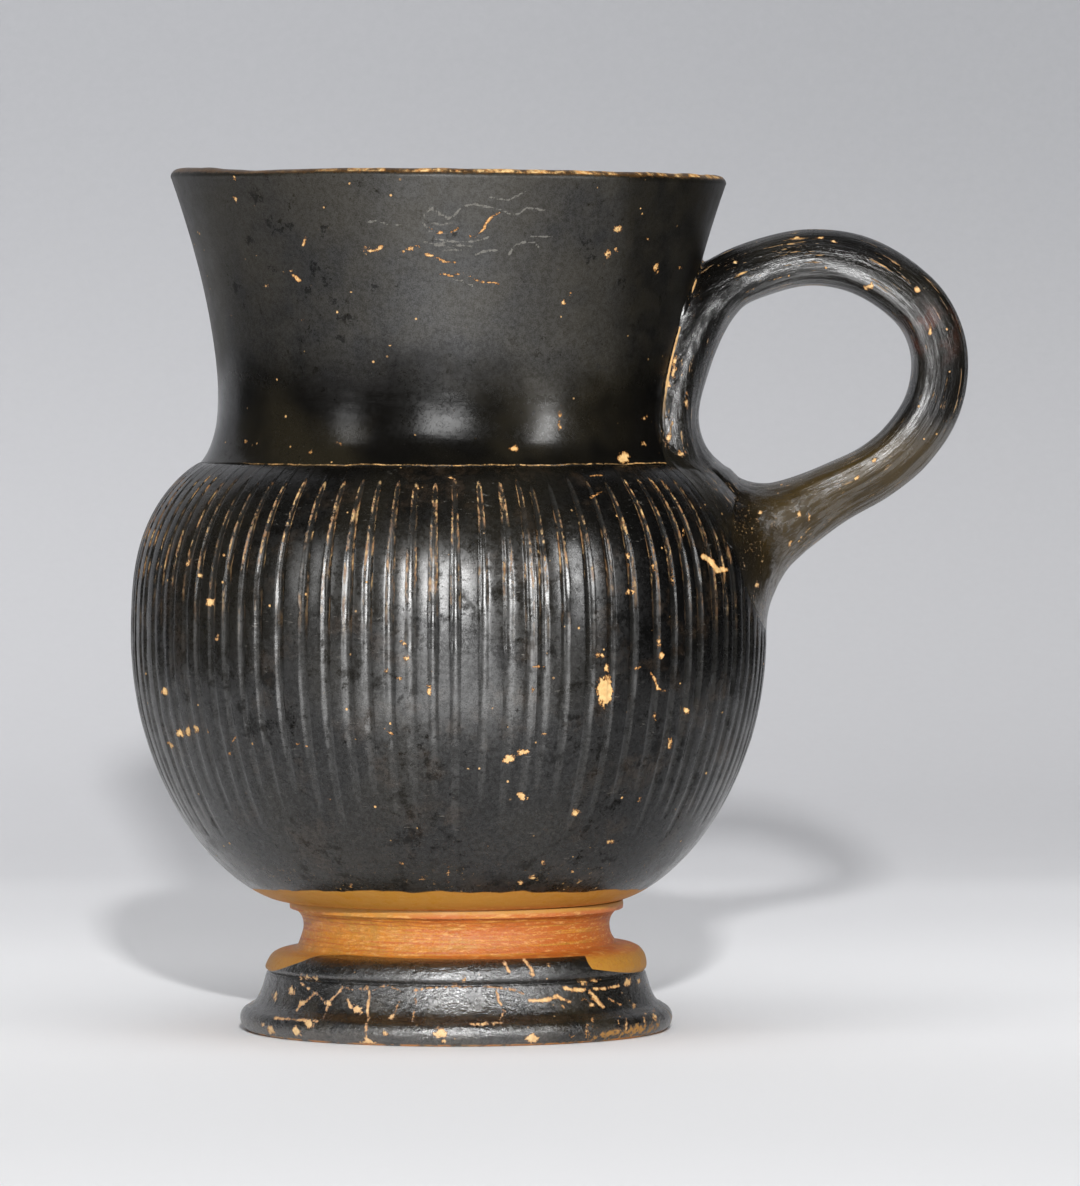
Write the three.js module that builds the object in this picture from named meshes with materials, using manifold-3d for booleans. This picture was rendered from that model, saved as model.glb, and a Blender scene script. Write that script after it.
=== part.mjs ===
// A black-gloss ribbed mug with one ring handle, built as a potter builds it: a thrown bowl, a thrown
// neck and a turned foot, a hand-formed handle, and the soft clay that lutes them together.
// Millimetres, +Z up. The handle points along +X and the mug stands on the XY plane.

import * as THREE from "three";
import { mergeVertices } from "three/addons/utils/BufferGeometryUtils.js";
import Module from "manifold-3d";

const wasm = await Module();
wasm.setup();

// Bowl
const BOWL_HEIGHT = 53.4;
const BELLY_RADIUS = 38.8;
const BELLY_RISE = 32.3; // from the foot joint up to the widest level
const BOWL_WALL = 3.5;
const BOWL_FLOOR = 4.6;
const BOWL_SEAT_RADIUS = 20.4; // flat underside, where the foot is luted on
const UNDERSIDE_FORM = { squareness: 2, fullness: 0.64 };
const SHOULDER_FORM = { squareness: 2.9, fullness: 0.81 };
const HOLLOW_FORM = { squareness: 3.5, fullness: 0.5 };

// Vertical ribs, a tooled groove between each pair
const RIB_COUNT = 92;
const GROOVE_WIDTH = 1.1;
const GROOVE_DEPTH = 0.45;
const GROOVE_TOP_DROP = 1.6; // from the neck joint down to the round tops of the grooves
const GROOVE_TOP_ROUND = 1.1;
const GROOVE_LENGTH = 38.5;
const GROOVE_FADE = 8; // the grooves run out over this length at the bottom

// Neck and lip
const NECK_HEIGHT = 35.4;
const NECK_WAIST_RISE = 8.7; // from the joint up to the narrowest level
const NECK_WAIST_RADIUS = 28.2;
const NECK_BASE_RADIUS = 30.2;
const NECK_WALL = 3.4;
const NECK_FLARE_POWER = 1.6;
const NECK_BASE_POWER = 3;
const LIP_RADIUS = 34.3;
const LIP_THICKNESS = 2.2;
const LIP_DIP = 0.9; // the mouth is this much lower on the handle's side

// Foot
const FOOT_HEIGHT = 15.9;
const FOOT_SHIFT = 0.9; // the foot was set this far off the bowl's axis, towards the handle
const TORUS_RADIUS = 26.5;
const TORUS_HEIGHT = 3.1;
const TORUS_FROM = -55; // degrees from level, where the torus leaves the flat that it rests on
const TORUS_TO = 70; // and where it meets the cove
const COVE_HEIGHT = 4.1;
const COVE_TOP_RADIUS = 23.2;
const COVE_BOTTOM_RADIUS = 25.2;
const COVE_POWER = 0.6;
const FASCIA_HEIGHT = 2.9;
const FASCIA_RADIUS = 23.4;
const MOULDING_GROOVE = 0.45;
const STEM_RADIUS = 18.7;
const STEM_FLARE = 1.1;
const RESTING_RING_RADIUS = 25; // outer edge of the flat that the mug stands on
const RESTING_RING_WIDTH = 3.4;
const RECESS_DEPTH = 9.8;
const RECESS_TOP_RADIUS = 12.5;

// Ring handle
const HANDLE_REACH = 63.5; // from the bowl's axis to the outside of the ring
const HANDLE_TOP_DROP = 6.9; // from the lip down to the top of the ring
const HANDLE_ROOT_DROP = 8.3; // from the neck joint down to the middle of the lower root
const HANDLE_THICKNESS = 7.2;
const HANDLE_WIDTH = 9.8;
const ROOT_WIDTH = 25; // the clay spread over the neck and shoulder
const INNER_SIDE_LIMIT = 0.75; // the inner side's most thickness, as a share of the bend's radius
const SADDLE_PROUD = 1.5; // the least height of the clay drawn along the wall inside the ring
const SADDLE_WIDTH = 16;

// Luting clay
const COIL_WIDTH = 1.6;
const COIL_HEIGHT = 1;
const COIL_PROUD = 0.5;
const LUTING_WIDTH = 1.2;
const LUTING_HEIGHT = 1.3;

// Clearance between the handle, its luting and the walls that they lie on
const CLEARANCE = 0.3;

// Fineness of the facets
const ROUND_SEGMENTS = 40;
const BOWL_ROWS = 4;
const RIB_FADE_ROWS = 3;
const NECK_ROWS = 5;
const MOULDING_ROWS = 4;
const LIP_ROWS = 4;
const HANDLE_STATIONS = 36;
const HANDLE_SIDES = 14;
const SADDLE_ROWS = 12;
const COIL_ROWS = 3;
const CROWDING = 1.6; // how strongly rows gather where a wall turns fastest
const SLOPE_REACH = 2; // the wall's slope at a level is taken this far above and below it

// Levels worked out from the sizes above
const FOOT_JOINT_Z = FOOT_HEIGHT;
const BELLY_Z = FOOT_JOINT_Z + BELLY_RISE;
const NECK_JOINT_Z = FOOT_JOINT_Z + BOWL_HEIGHT;
const NECK_WAIST_Z = NECK_JOINT_Z + NECK_WAIST_RISE;
const LIP_Z = NECK_JOINT_Z + NECK_HEIGHT;
const NECK_BORE_RADIUS = NECK_WAIST_RADIUS - NECK_WALL;
const GROOVE_TOP_Z = NECK_JOINT_Z - GROOVE_TOP_DROP;
const GROOVE_BOTTOM_Z = GROOVE_TOP_Z - GROOVE_LENGTH;

const BLACK_GLOSS = { color: 0x1f1d19, roughness: 0.34, metalness: 0 };
const BLACK_GLOSS_WORN = { color: 0x2b251d, roughness: 0.45, metalness: 0 };
const RESERVED_CLAY = { color: 0xa9623a, roughness: 0.85, metalness: 0 };

// A quarter of a rounded bulge: 1 at share 0, falling to 0 at share 1
function bulge(share, { squareness, fullness }) {
  return Math.pow(Math.max(0, 1 - Math.pow(share, squareness)), fullness);
}

function bowlOuterRadius(z) {
  if (z < BELLY_Z) {
    const share = (BELLY_Z - z) / BELLY_RISE;
    return BOWL_SEAT_RADIUS + (BELLY_RADIUS - BOWL_SEAT_RADIUS) * bulge(share, UNDERSIDE_FORM);
  }
  const share = (z - BELLY_Z) / (NECK_JOINT_Z - BELLY_Z);
  return NECK_BASE_RADIUS + (BELLY_RADIUS - NECK_BASE_RADIUS) * bulge(share, SHOULDER_FORM);
}

function bowlInnerRadius(z) {
  const inside = BELLY_RADIUS - BOWL_WALL;
  if (z < BELLY_Z) {
    const share = (BELLY_Z - z) / (BELLY_RISE - BOWL_FLOOR);
    return inside * bulge(share, HOLLOW_FORM);
  }
  const share = (z - BELLY_Z) / (NECK_JOINT_Z - BOWL_WALL - BELLY_Z);
  return NECK_BORE_RADIUS + (inside - NECK_BORE_RADIUS) * bulge(share, SHOULDER_FORM);
}

function neckOuterRadius(z) {
  if (z > NECK_WAIST_Z) {
    const share = (z - NECK_WAIST_Z) / (LIP_Z - NECK_WAIST_Z);
    return NECK_WAIST_RADIUS + (LIP_RADIUS - NECK_WAIST_RADIUS) * Math.pow(share, NECK_FLARE_POWER);
  }
  const share = (NECK_WAIST_Z - z) / NECK_WAIST_RISE;
  return NECK_WAIST_RADIUS + (NECK_BASE_RADIUS - NECK_WAIST_RADIUS) * Math.pow(share, NECK_BASE_POWER);
}

function neckInnerRadius(z) {
  const share = Math.max(0, z - NECK_WAIST_Z) / (LIP_Z - NECK_WAIST_Z);
  return neckOuterRadius(Math.max(z, NECK_WAIST_Z)) - NECK_WALL - (LIP_THICKNESS - NECK_WALL) * share;
}

// The outside of the whole wall that the handle lies on
function wallRadius(z) {
  return z < NECK_JOINT_Z ? bowlOuterRadius(z) : neckOuterRadius(z);
}

// Values from a to b, closer together towards b where crowding is over 1
function levels(a, b, count, crowding = 1) {
  return Array.from({ length: count + 1 }, (_, i) => {
    const share = 1 - Math.pow(1 - i / count, crowding);
    return a + (b - a) * share;
  });
}

// The rows of the walls' outsides, going up. The handle is cut to the same rows.
function plainBowlRows() {
  return levels(GROOVE_BOTTOM_Z, FOOT_JOINT_Z, BOWL_ROWS, CROWDING).reverse().slice(0, -1);
}

function ribbedBowlRows() {
  return [
    ...levels(BELLY_Z, GROOVE_BOTTOM_Z, RIB_FADE_ROWS).reverse().slice(0, -1),
    ...levels(BELLY_Z, GROOVE_TOP_Z - GROOVE_TOP_ROUND, BOWL_ROWS, CROWDING),
    GROOVE_TOP_Z,
  ];
}

function neckRows() {
  const lipBase = LIP_Z - LIP_THICKNESS / 2;
  const flare = levels(NECK_WAIST_Z, lipBase, NECK_ROWS).slice(1);
  return [...levels(NECK_JOINT_Z, NECK_WAIST_Z, MOULDING_ROWS), ...flare];
}

// A closed ring of points round the axis at one level
function ring(count, z, radius) {
  return Array.from({ length: count }, (_, i) => {
    const angle = (i / count) * Math.PI * 2;
    return new THREE.Vector3(radius * Math.cos(angle), radius * Math.sin(angle), z);
  });
}

// Joins closed rings into one skin. Rings may have different counts: each step goes to the nearer share.
function skin(rings, closed) {
  const positions = [];
  const starts = rings.map((points) => {
    const start = positions.length / 3;
    points.forEach((p) => positions.push(p.x, p.y, p.z));
    return start;
  });
  const index = [];
  const pairs = closed ? rings.length : rings.length - 1;
  for (let r = 0; r < pairs; r++) {
    const s = (r + 1) % rings.length;
    joinRings(index, starts[r], rings[r].length, starts[s], rings[s].length);
  }
  const geometry = new THREE.BufferGeometry();
  geometry.setAttribute("position", new THREE.Float32BufferAttribute(positions, 3));
  geometry.setIndex(index);
  return geometry;
}

function joinRings(index, lowStart, lowCount, highStart, highCount) {
  let low = 0;
  let high = 0;
  while (low < lowCount || high < highCount) {
    const lowPoint = lowStart + (low % lowCount);
    const highPoint = highStart + (high % highCount);
    const lowIsNext = (low + 1) * highCount <= (high + 1) * lowCount;
    if (lowIsNext && low < lowCount) {
      index.push(lowPoint, lowStart + ((low + 1) % lowCount), highPoint);
      low++;
    } else {
      index.push(lowPoint, highStart + ((high + 1) % highCount), highPoint);
      high++;
    }
  }
}

// A solid of revolution about +Z. The profile is a list of [radius, height] going up the outside.
function revolve(profile) {
  const points = profile.map(([radius, height]) => new THREE.Vector2(radius, height));
  return new THREE.LatheGeometry(points, ROUND_SEGMENTS).rotateX(Math.PI / 2);
}

// Points of a round arc in a profile, from one angle to another in degrees
function arc(radius, height, size, from, to, steps) {
  return Array.from({ length: steps + 1 }, (_, i) => {
    const angle = THREE.MathUtils.degToRad(from + ((to - from) * i) / steps);
    return [radius + size * Math.cos(angle), height + size * Math.sin(angle)];
  });
}

// Closed geometry to a solid that can be joined and cut, and back
function toSolid(geometry) {
  const plain = geometry.clone();
  plain.deleteAttribute("normal");
  plain.deleteAttribute("uv");
  const merged = mergeVertices(plain, 1e-4);
  const corners = Array.from(merged.index.array);
  const triVerts = [];
  for (let i = 0; i < corners.length; i += 3) {
    const [a, b, c] = corners.slice(i, i + 3);
    if (a !== b && b !== c && c !== a) {
      triVerts.push(a, b, c);
    }
  }
  const vertProperties = Float32Array.from(merged.attributes.position.array);
  return new wasm.Manifold(
    new wasm.Mesh({ numProp: 3, vertProperties, triVerts: Uint32Array.from(triVerts) }),
  );
}

function toGeometry(solid) {
  const mesh = solid.getMesh();
  const geometry = new THREE.BufferGeometry();
  geometry.setAttribute("position", new THREE.Float32BufferAttribute(mesh.vertProperties, 3));
  geometry.setIndex(Array.from(mesh.triVerts));
  return geometry;
}

// How deep the grooves are at a level: rounded at the top, running out at the bottom
function grooveDepthAt(z) {
  const fromTop = THREE.MathUtils.clamp((GROOVE_TOP_Z - z) / GROOVE_TOP_ROUND, 0, 1);
  const fromBottom = THREE.MathUtils.clamp((z - GROOVE_BOTTOM_Z) / GROOVE_FADE, 0, 1);
  return GROOVE_DEPTH * Math.sqrt(fromTop) * fromBottom;
}

// A ring with three points to a rib: the two edges of its flat and the bottom of the groove after it
function ribbedRing(z) {
  const radius = bowlOuterRadius(z);
  const depth = grooveDepthAt(z);
  const pitch = (Math.PI * 2) / RIB_COUNT;
  const halfGroove = GROOVE_WIDTH / 2 / BELLY_RADIUS;
  const points = [];
  for (let rib = 0; rib < RIB_COUNT; rib++) {
    const groove = (rib + 0.5) * pitch;
    for (const [angle, r] of [
      [groove - pitch + halfGroove, radius],
      [groove - halfGroove, radius],
      [groove, radius - depth],
    ]) {
      points.push(new THREE.Vector3(r * Math.cos(angle), r * Math.sin(angle), z));
    }
  }
  return points;
}

function bowlGeometry() {
  const plain = (z) => ring(RIB_COUNT, z, bowlOuterRadius(z));
  const inside = (z) => ring(ROUND_SEGMENTS, z, bowlInnerRadius(z));
  const boreTop = NECK_JOINT_Z - COIL_HEIGHT;
  const coilSeatRadius = NECK_BORE_RADIUS + COIL_WIDTH + CLEARANCE;
  const rings = [
    ring(RIB_COUNT, FOOT_JOINT_Z, 0),
    ...plainBowlRows().map(plain),
    ...ribbedBowlRows().map(ribbedRing),
    plain(NECK_JOINT_Z),
    ring(ROUND_SEGMENTS, NECK_JOINT_Z, coilSeatRadius),
    ring(ROUND_SEGMENTS, boreTop, coilSeatRadius),
    ring(ROUND_SEGMENTS, boreTop, NECK_BORE_RADIUS),
    ...levels(BELLY_Z, NECK_JOINT_Z - BOWL_WALL, BOWL_ROWS, CROWDING).reverse().map(inside),
    ...levels(BELLY_Z, FOOT_JOINT_Z + BOWL_FLOOR, BOWL_ROWS + 1, CROWDING).slice(1).map(inside),
  ];
  return skin(rings, false);
}

// The lip dips towards the handle, by a shear that grows from the joint upwards
function dipTowardsHandle(geometry) {
  const position = geometry.attributes.position;
  for (let i = 0; i < position.count; i++) {
    const share = (position.getZ(i) - NECK_JOINT_Z) / NECK_HEIGHT;
    const drop = (position.getX(i) / LIP_RADIUS) * (LIP_DIP / 2) * share;
    position.setZ(i, position.getZ(i) - drop);
  }
  return geometry;
}

function neckGeometry() {
  const lipSize = LIP_THICKNESS / 2;
  const lipBase = LIP_Z - lipSize;
  const lipMiddle = (neckOuterRadius(lipBase) + neckInnerRadius(lipBase)) / 2;
  const profile = [
    ...neckRows().map((z) => [neckOuterRadius(z), z]),
    ...arc(lipMiddle, lipBase, lipSize, 0, 180, LIP_ROWS).slice(1, -1),
    ...levels(lipBase, NECK_WAIST_Z, NECK_ROWS).map((z) => [neckInnerRadius(z), z]),
    [NECK_BORE_RADIUS, NECK_JOINT_Z],
    [NECK_BASE_RADIUS, NECK_JOINT_Z],
  ];
  return dipTowardsHandle(revolve(profile));
}

function footGeometry() {
  const coveTop = TORUS_HEIGHT + COVE_HEIGHT;
  const fasciaTop = coveTop + FASCIA_HEIGHT;
  const seat = FOOT_HEIGHT - COIL_HEIGHT;
  const coilSeatRadius = BOWL_SEAT_RADIUS - COIL_WIDTH - CLEARANCE;
  const torusSize = TORUS_HEIGHT / 2;
  const restingInner = RESTING_RING_RADIUS - RESTING_RING_WIDTH;
  const cove = levels(0, 1, MOULDING_ROWS).map((share) => {
    const drawnIn = (COVE_BOTTOM_RADIUS - COVE_TOP_RADIUS) * Math.pow(share, COVE_POWER);
    return [COVE_BOTTOM_RADIUS - drawnIn, TORUS_HEIGHT + COVE_HEIGHT * share];
  });
  const stem = levels(0, 1, MOULDING_ROWS).map((share) => {
    const radius = STEM_RADIUS + STEM_FLARE * Math.pow(2 * share - 1, 2) * share;
    return [radius, fasciaTop + (seat - fasciaTop) * share];
  });
  const recess = levels(0, 1, MOULDING_ROWS, CROWDING).map((share) => [
    RECESS_TOP_RADIUS * (1 - share) + restingInner * share,
    RECESS_DEPTH * Math.sqrt(1 - share * share),
  ]);
  return revolve([
    [0, RECESS_DEPTH],
    ...recess,
    [RESTING_RING_RADIUS, 0],
    ...arc(TORUS_RADIUS - torusSize, torusSize, torusSize, TORUS_FROM, TORUS_TO, MOULDING_ROWS),
    ...cove,
    [COVE_TOP_RADIUS - MOULDING_GROOVE, coveTop],
    [FASCIA_RADIUS, coveTop + MOULDING_GROOVE],
    [FASCIA_RADIUS, fasciaTop - MOULDING_GROOVE / 2],
    [FASCIA_RADIUS - MOULDING_GROOVE, fasciaTop],
    ...stem,
    [coilSeatRadius, seat],
    [coilSeatRadius, FOOT_HEIGHT],
    [0, FOOT_HEIGHT],
  ]);
}

// A wall's outside as a solid core, grown outwards: it cuts the handle and its luting to the wall
function wallCore(radiusAt, rows, growth) {
  const side = rows.map((z) => [radiusAt(z) + growth, z]);
  const bottom = rows[0] - growth;
  const top = rows.at(-1) + growth;
  return toSolid(revolve([[0, bottom], [side[0][0], bottom], ...side, [side.at(-1)[0], top], [0, top]]));
}

function vesselCore(growth) {
  const bowlRows = [...plainBowlRows(), ...ribbedBowlRows(), NECK_JOINT_Z];
  const bowl = wallCore(bowlOuterRadius, bowlRows, growth);
  return bowl.add(wallCore(neckOuterRadius, neckRows(), growth));
}

// The ring handle is a closed loop with one side sunk in the neck and shoulder. Each station gives its
// place as a share of the way up from the lower root to the top, and out from the wall at that level to
// the far side. Its thickness is a share of the handle's, and spread goes from its width to the root's.
const HANDLE_LOOP = [
  { out: 0.235, up: 0.957, thick: 1.0, spread: 0.04 },
  { out: 0.41, up: 1.0, thick: 1.0, spread: 0 },
  { out: 0.608, up: 0.988, thick: 1.0, spread: 0 },
  { out: 0.786, up: 0.92, thick: 1.0, spread: 0 },
  { out: 0.938, up: 0.8, thick: 1.0, spread: 0 },
  { out: 1.0, up: 0.63, thick: 1.0, spread: 0 },
  { out: 0.97, up: 0.45, thick: 1.0, spread: 0 },
  { out: 0.866, up: 0.308, thick: 1.0, spread: 0 },
  { out: 0.713, up: 0.212, thick: 1.0, spread: 0 },
  { out: 0.515, up: 0.144, thick: 1.04, spread: 0.03 },
  { out: 0.278, up: 0.065, thick: 1.24, spread: 0.18 },
  { out: 0.03, up: -0.005, thick: 1.62, spread: 0.5 },
  { out: -0.2, up: -0.065, thick: 1.75, spread: 0.85 },
  { out: -0.23, up: 0.14, thick: 1.4, spread: 1.0 },
  { out: -0.05, up: 0.36, thick: 1.0, spread: 0.93 },
  { out: -0.021, up: 0.541, thick: 1.02, spread: 0.72 },
  { out: 0.02, up: 0.76, thick: 1.13, spread: 0.42 },
  { out: 0.106, up: 0.893, thick: 1.03, spread: 0.16 },
];

function bendRadius(path, share) {
  const [before, after] = [-0.5, 0.5].map((step) => (share + step / HANDLE_STATIONS + 1) % 1);
  const turned = path.getTangent(after).sub(path.getTangent(before)).length();
  return path.getPoint(after).distanceTo(path.getPoint(before)) / turned;
}

// The loop's ring of section points at one share of the way round, grown by a margin. Where the loop
// bends tightly at its root, its inner side is thinner than the bend, so it never folds through itself.
function handleSection(share, margin) {
  const far = HANDLE_REACH - HANDLE_THICKNESS / 2;
  const top = LIP_Z - HANDLE_TOP_DROP - HANDLE_THICKNESS / 2;
  const root = NECK_JOINT_Z - HANDLE_ROOT_DROP;
  const place = ({ out, up }) => {
    const z = root + (top - root) * up;
    const wall = wallRadius(z);
    return new THREE.Vector3(wall + (far - wall) * out, 0, z);
  };
  const size = ({ thick, spread }) => {
    const width = HANDLE_WIDTH + (ROOT_WIDTH - HANDLE_WIDTH) * spread;
    return new THREE.Vector3((HANDLE_THICKNESS * thick) / 2, width / 2, 0);
  };
  const path = new THREE.CatmullRomCurve3(HANDLE_LOOP.map(place), true, "centripetal");
  const sizes = new THREE.CatmullRomCurve3(HANDLE_LOOP.map(size), true, "centripetal");
  const centre = path.getPoint(share);
  const tangent = path.getTangent(share);
  const { x: halfThick, y: halfWide } = sizes.getPoint(share);
  const innerHalf = Math.min(halfThick + margin, INNER_SIDE_LIMIT * bendRadius(path, share));
  return Array.from({ length: HANDLE_SIDES }, (_, i) => {
    const angle = (i / HANDLE_SIDES) * Math.PI * 2;
    const outward = (Math.cos(angle) > 0 ? halfThick + margin : innerHalf) * Math.cos(angle);
    const sideways = -(halfWide + margin) * Math.sin(angle);
    return new THREE.Vector3(centre.x - tangent.z * outward, sideways, centre.z + tangent.x * outward);
  });
}

// The clay drawn out along the wall inside the ring, which keeps the ring whole over the neck joint
function rootSaddle(margin) {
  const bottom = NECK_JOINT_Z - HANDLE_ROOT_DROP;
  const top = LIP_Z - HANDLE_TOP_DROP - HANDLE_THICKNESS;
  const rings = levels(bottom, top, SADDLE_ROWS).map((z) => {
    const rise = wallRadius(z + SLOPE_REACH) - wallRadius(z - SLOPE_REACH);
    const slope = new THREE.Vector2(rise, 2 * SLOPE_REACH).normalize();
    return Array.from({ length: HANDLE_SIDES }, (_, i) => {
      const angle = (i / HANDLE_SIDES) * Math.PI * 2;
      const outward = (SADDLE_PROUD + margin) * Math.cos(angle);
      const sideways = (SADDLE_WIDTH / 2 + margin) * Math.sin(angle);
      return new THREE.Vector3(wallRadius(z) + slope.y * outward, sideways, z - slope.x * outward);
    });
  });
  const ends = [rings[0], rings.at(-1)].map((points) => {
    const middle = points.reduce((sum, p) => sum.add(p), new THREE.Vector3()).divideScalar(points.length);
    return points.map(() => middle.clone());
  });
  return toSolid(skin([ends[0], ...rings, ends[1]], false));
}

function handleLoop(margin) {
  const shares = Array.from({ length: HANDLE_STATIONS }, (_, i) => i / HANDLE_STATIONS);
  const rings = shares.map((share) => handleSection(share, margin));
  return toSolid(skin(rings, true)).add(rootSaddle(margin));
}

function handleGeometry() {
  return toGeometry(handleLoop(0).subtract(vesselCore(CLEARANCE)));
}

// A low band of clay on the wall, round the outline of the handle's root
function handleLutingGeometry() {
  const onWall = vesselCore(CLEARANCE + LUTING_HEIGHT).subtract(vesselCore(CLEARANCE));
  const band = handleLoop(CLEARANCE + LUTING_WIDTH).subtract(handleLoop(CLEARANCE));
  return toGeometry(band.intersect(onWall));
}

// A coil of clay in a stepped joint: flat above and below, and rounded on the side that shows
function coilGeometry(seatedRadius, shownRadius, bottom) {
  const top = bottom + COIL_HEIGHT;
  const bulgeTo = Math.sign(shownRadius - seatedRadius) * COIL_PROUD;
  const shown = levels(0, 1, COIL_ROWS).map((share) => [
    shownRadius + bulgeTo * Math.sin(Math.PI * share),
    bottom + COIL_HEIGHT * share,
  ]);
  const seated = [[seatedRadius, top], [seatedRadius, bottom]];
  const profile = [...shown, ...seated, shown[0]];
  return revolve(shownRadius > seatedRadius ? profile : profile.reverse());
}

function piece(name, geometry, finish, x = 0) {
  const mesh = new THREE.Mesh(geometry, new THREE.MeshStandardMaterial(finish));
  mesh.name = name;
  mesh.position.x = x;
  return mesh;
}

const mug = new THREE.Group();
mug.add(
  piece("bowl", bowlGeometry(), BLACK_GLOSS),
  piece("neck", neckGeometry(), BLACK_GLOSS_WORN),
  piece("foot", footGeometry(), BLACK_GLOSS, FOOT_SHIFT),
  piece("handle", handleGeometry(), BLACK_GLOSS),
  piece(
    "neck_luting_coil",
    coilGeometry(NECK_BORE_RADIUS + COIL_WIDTH, NECK_BORE_RADIUS, NECK_JOINT_Z - COIL_HEIGHT),
    BLACK_GLOSS_WORN,
  ),
  piece(
    "foot_luting_coil",
    coilGeometry(BOWL_SEAT_RADIUS - COIL_WIDTH, BOWL_SEAT_RADIUS, FOOT_JOINT_Z - COIL_HEIGHT),
    RESERVED_CLAY,
    FOOT_SHIFT,
  ),
  piece("handle_luting", handleLutingGeometry(), RESERVED_CLAY),
);

// The origin is under the middle of the whole mug, handle included
const extent = new THREE.Box3().setFromObject(mug, true);
mug.position.x = -(extent.min.x + extent.max.x) / 2;

export default mug;
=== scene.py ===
# The looks of a black-gloss ribbed mug with one ring handle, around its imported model.
# Lengths are millimetres until a mesh is made. +Z is up, the handle points along +X, the view is along +Y.

import math

import bpy
import numpy as np
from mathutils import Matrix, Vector


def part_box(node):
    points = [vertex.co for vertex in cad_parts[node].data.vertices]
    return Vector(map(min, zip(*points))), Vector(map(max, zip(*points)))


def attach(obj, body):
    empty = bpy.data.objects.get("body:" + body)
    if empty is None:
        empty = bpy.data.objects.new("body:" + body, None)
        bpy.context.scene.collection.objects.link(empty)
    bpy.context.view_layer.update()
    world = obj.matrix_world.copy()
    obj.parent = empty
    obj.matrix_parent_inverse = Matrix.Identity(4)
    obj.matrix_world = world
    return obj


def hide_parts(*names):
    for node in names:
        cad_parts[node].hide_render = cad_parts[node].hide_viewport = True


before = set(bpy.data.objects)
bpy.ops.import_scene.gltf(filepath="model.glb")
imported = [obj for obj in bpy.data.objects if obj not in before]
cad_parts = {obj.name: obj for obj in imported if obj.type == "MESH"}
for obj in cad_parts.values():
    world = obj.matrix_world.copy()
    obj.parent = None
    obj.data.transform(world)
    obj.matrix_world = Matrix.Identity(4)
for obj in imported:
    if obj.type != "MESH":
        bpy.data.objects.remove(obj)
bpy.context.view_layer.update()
MM = 0.001


def node_box(node):
    low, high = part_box(node)
    return np.array(low) / MM, np.array(high) / MM


# Levels and widths that the frame gives
bowl_low, bowl_high = node_box("bowl")
foot_low, foot_high = node_box("foot")
AXIS_X = (bowl_low[0] + bowl_high[0]) / 2
FOOT_AXIS_X = (foot_low[0] + foot_high[0]) / 2
FOOT_JOINT_Z = bowl_low[2]
NECK_JOINT_Z = bowl_high[2]
BELLY_RADIUS = (bowl_high[1] - bowl_low[1]) / 2

# Bowl. A bulge is how square and how full its curve is.
BELLY_Z = 48.2
BOWL_WALL = 3.5
BOWL_FLOOR = 4.6
BOWL_SEAT_RADIUS = 20.4
UNDER_BULGE = (2, 0.64)
OVER_BULGE = (2.9, 0.81)
INSIDE_BULGE = (3.5, 0.5)
SEAT_STEP = 1  # height of the step in each turned joint, where the coil lies
SEAT_STEP_WIDTH = 1.9

# Grooves between the ribs
RIB_COUNT = 92
GROOVE_HALF_WIDTH = 0.70
GROOVE_DEPTH = 0.25
GROOVE_TOP_DROP = 1.5
GROOVE_LENGTH = 41
GROOVE_FADE = 10

# Neck and lip
NECK_WAIST_Z = NECK_JOINT_Z + 8.7
NECK_WAIST_RADIUS = 28.2
NECK_BASE_RADIUS = 30.2
NECK_WALL = 3.4
LIP_THICKNESS = 2.2
LIP_DIP = 0.9
LIP_RADIUS = 34.3
LIP_Z = NECK_JOINT_Z + 35.4
NECK_FLARE_POWER = 1.6
NECK_BASE_POWER = 3
BORE_RADIUS = NECK_WAIST_RADIUS - NECK_WALL

# Foot
TORUS_RADIUS = 26.45
TORUS_HEIGHT = 3.1
COVE_HEIGHT = 4.1
COVE_TOP_RADIUS = 23.2
COVE_BOTTOM_RADIUS = 25.2
FASCIA_HEIGHT = 2.9
FASCIA_RADIUS = 23.35
FASCIA_RISE = 0.35  # the fascia's top is this much higher towards the handle, and lower on the far side
STEM_RADIUS = 18.7
STEM_FLARE = 1.1
RESTING_RING_INNER = 21.6
RECESS_DEPTH = 9.8
RECESS_TOP_RADIUS = 12.5

# Ring handle
HANDLE_REACH = 63.5
HANDLE_TOP_DROP = 6.9
HANDLE_ROOT_DROP = 8.3
HANDLE_THICKNESS = 7.2
HANDLE_WIDTH = 9.8
ROOT_WIDTH = 25
ROOT_DEPTH = 1.6  # how deep the hidden side of the root goes into the wall
SKIN_GAP = 0.05  # the surfaces keep this far inside the solids, so that their unevenness stays inside too

# The photograph's scale, the pixels over the middle and the base of the mug, and where it was taken from
PIXELS_PER_MM = 8.2
MIDDLE_PX = 550
BASE_PX = 1030
PHOTO_WIDTH_PX = 1080
PHOTO_HEIGHT_PX = 1186
CAMERA_DISTANCE = 1040
CAMERA_HEIGHT = 89
CAMERA_X = (PHOTO_WIDTH_PX / 2 - MIDDLE_PX) / PIXELS_PER_MM


def bulge(share, squareness, fullness):
    """A quarter of a rounded bulge: 1 at share 0, falling to 0 at share 1."""
    return np.power(np.clip(1 - np.power(np.clip(share, 0, 1), squareness), 0, 1), fullness)


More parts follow.
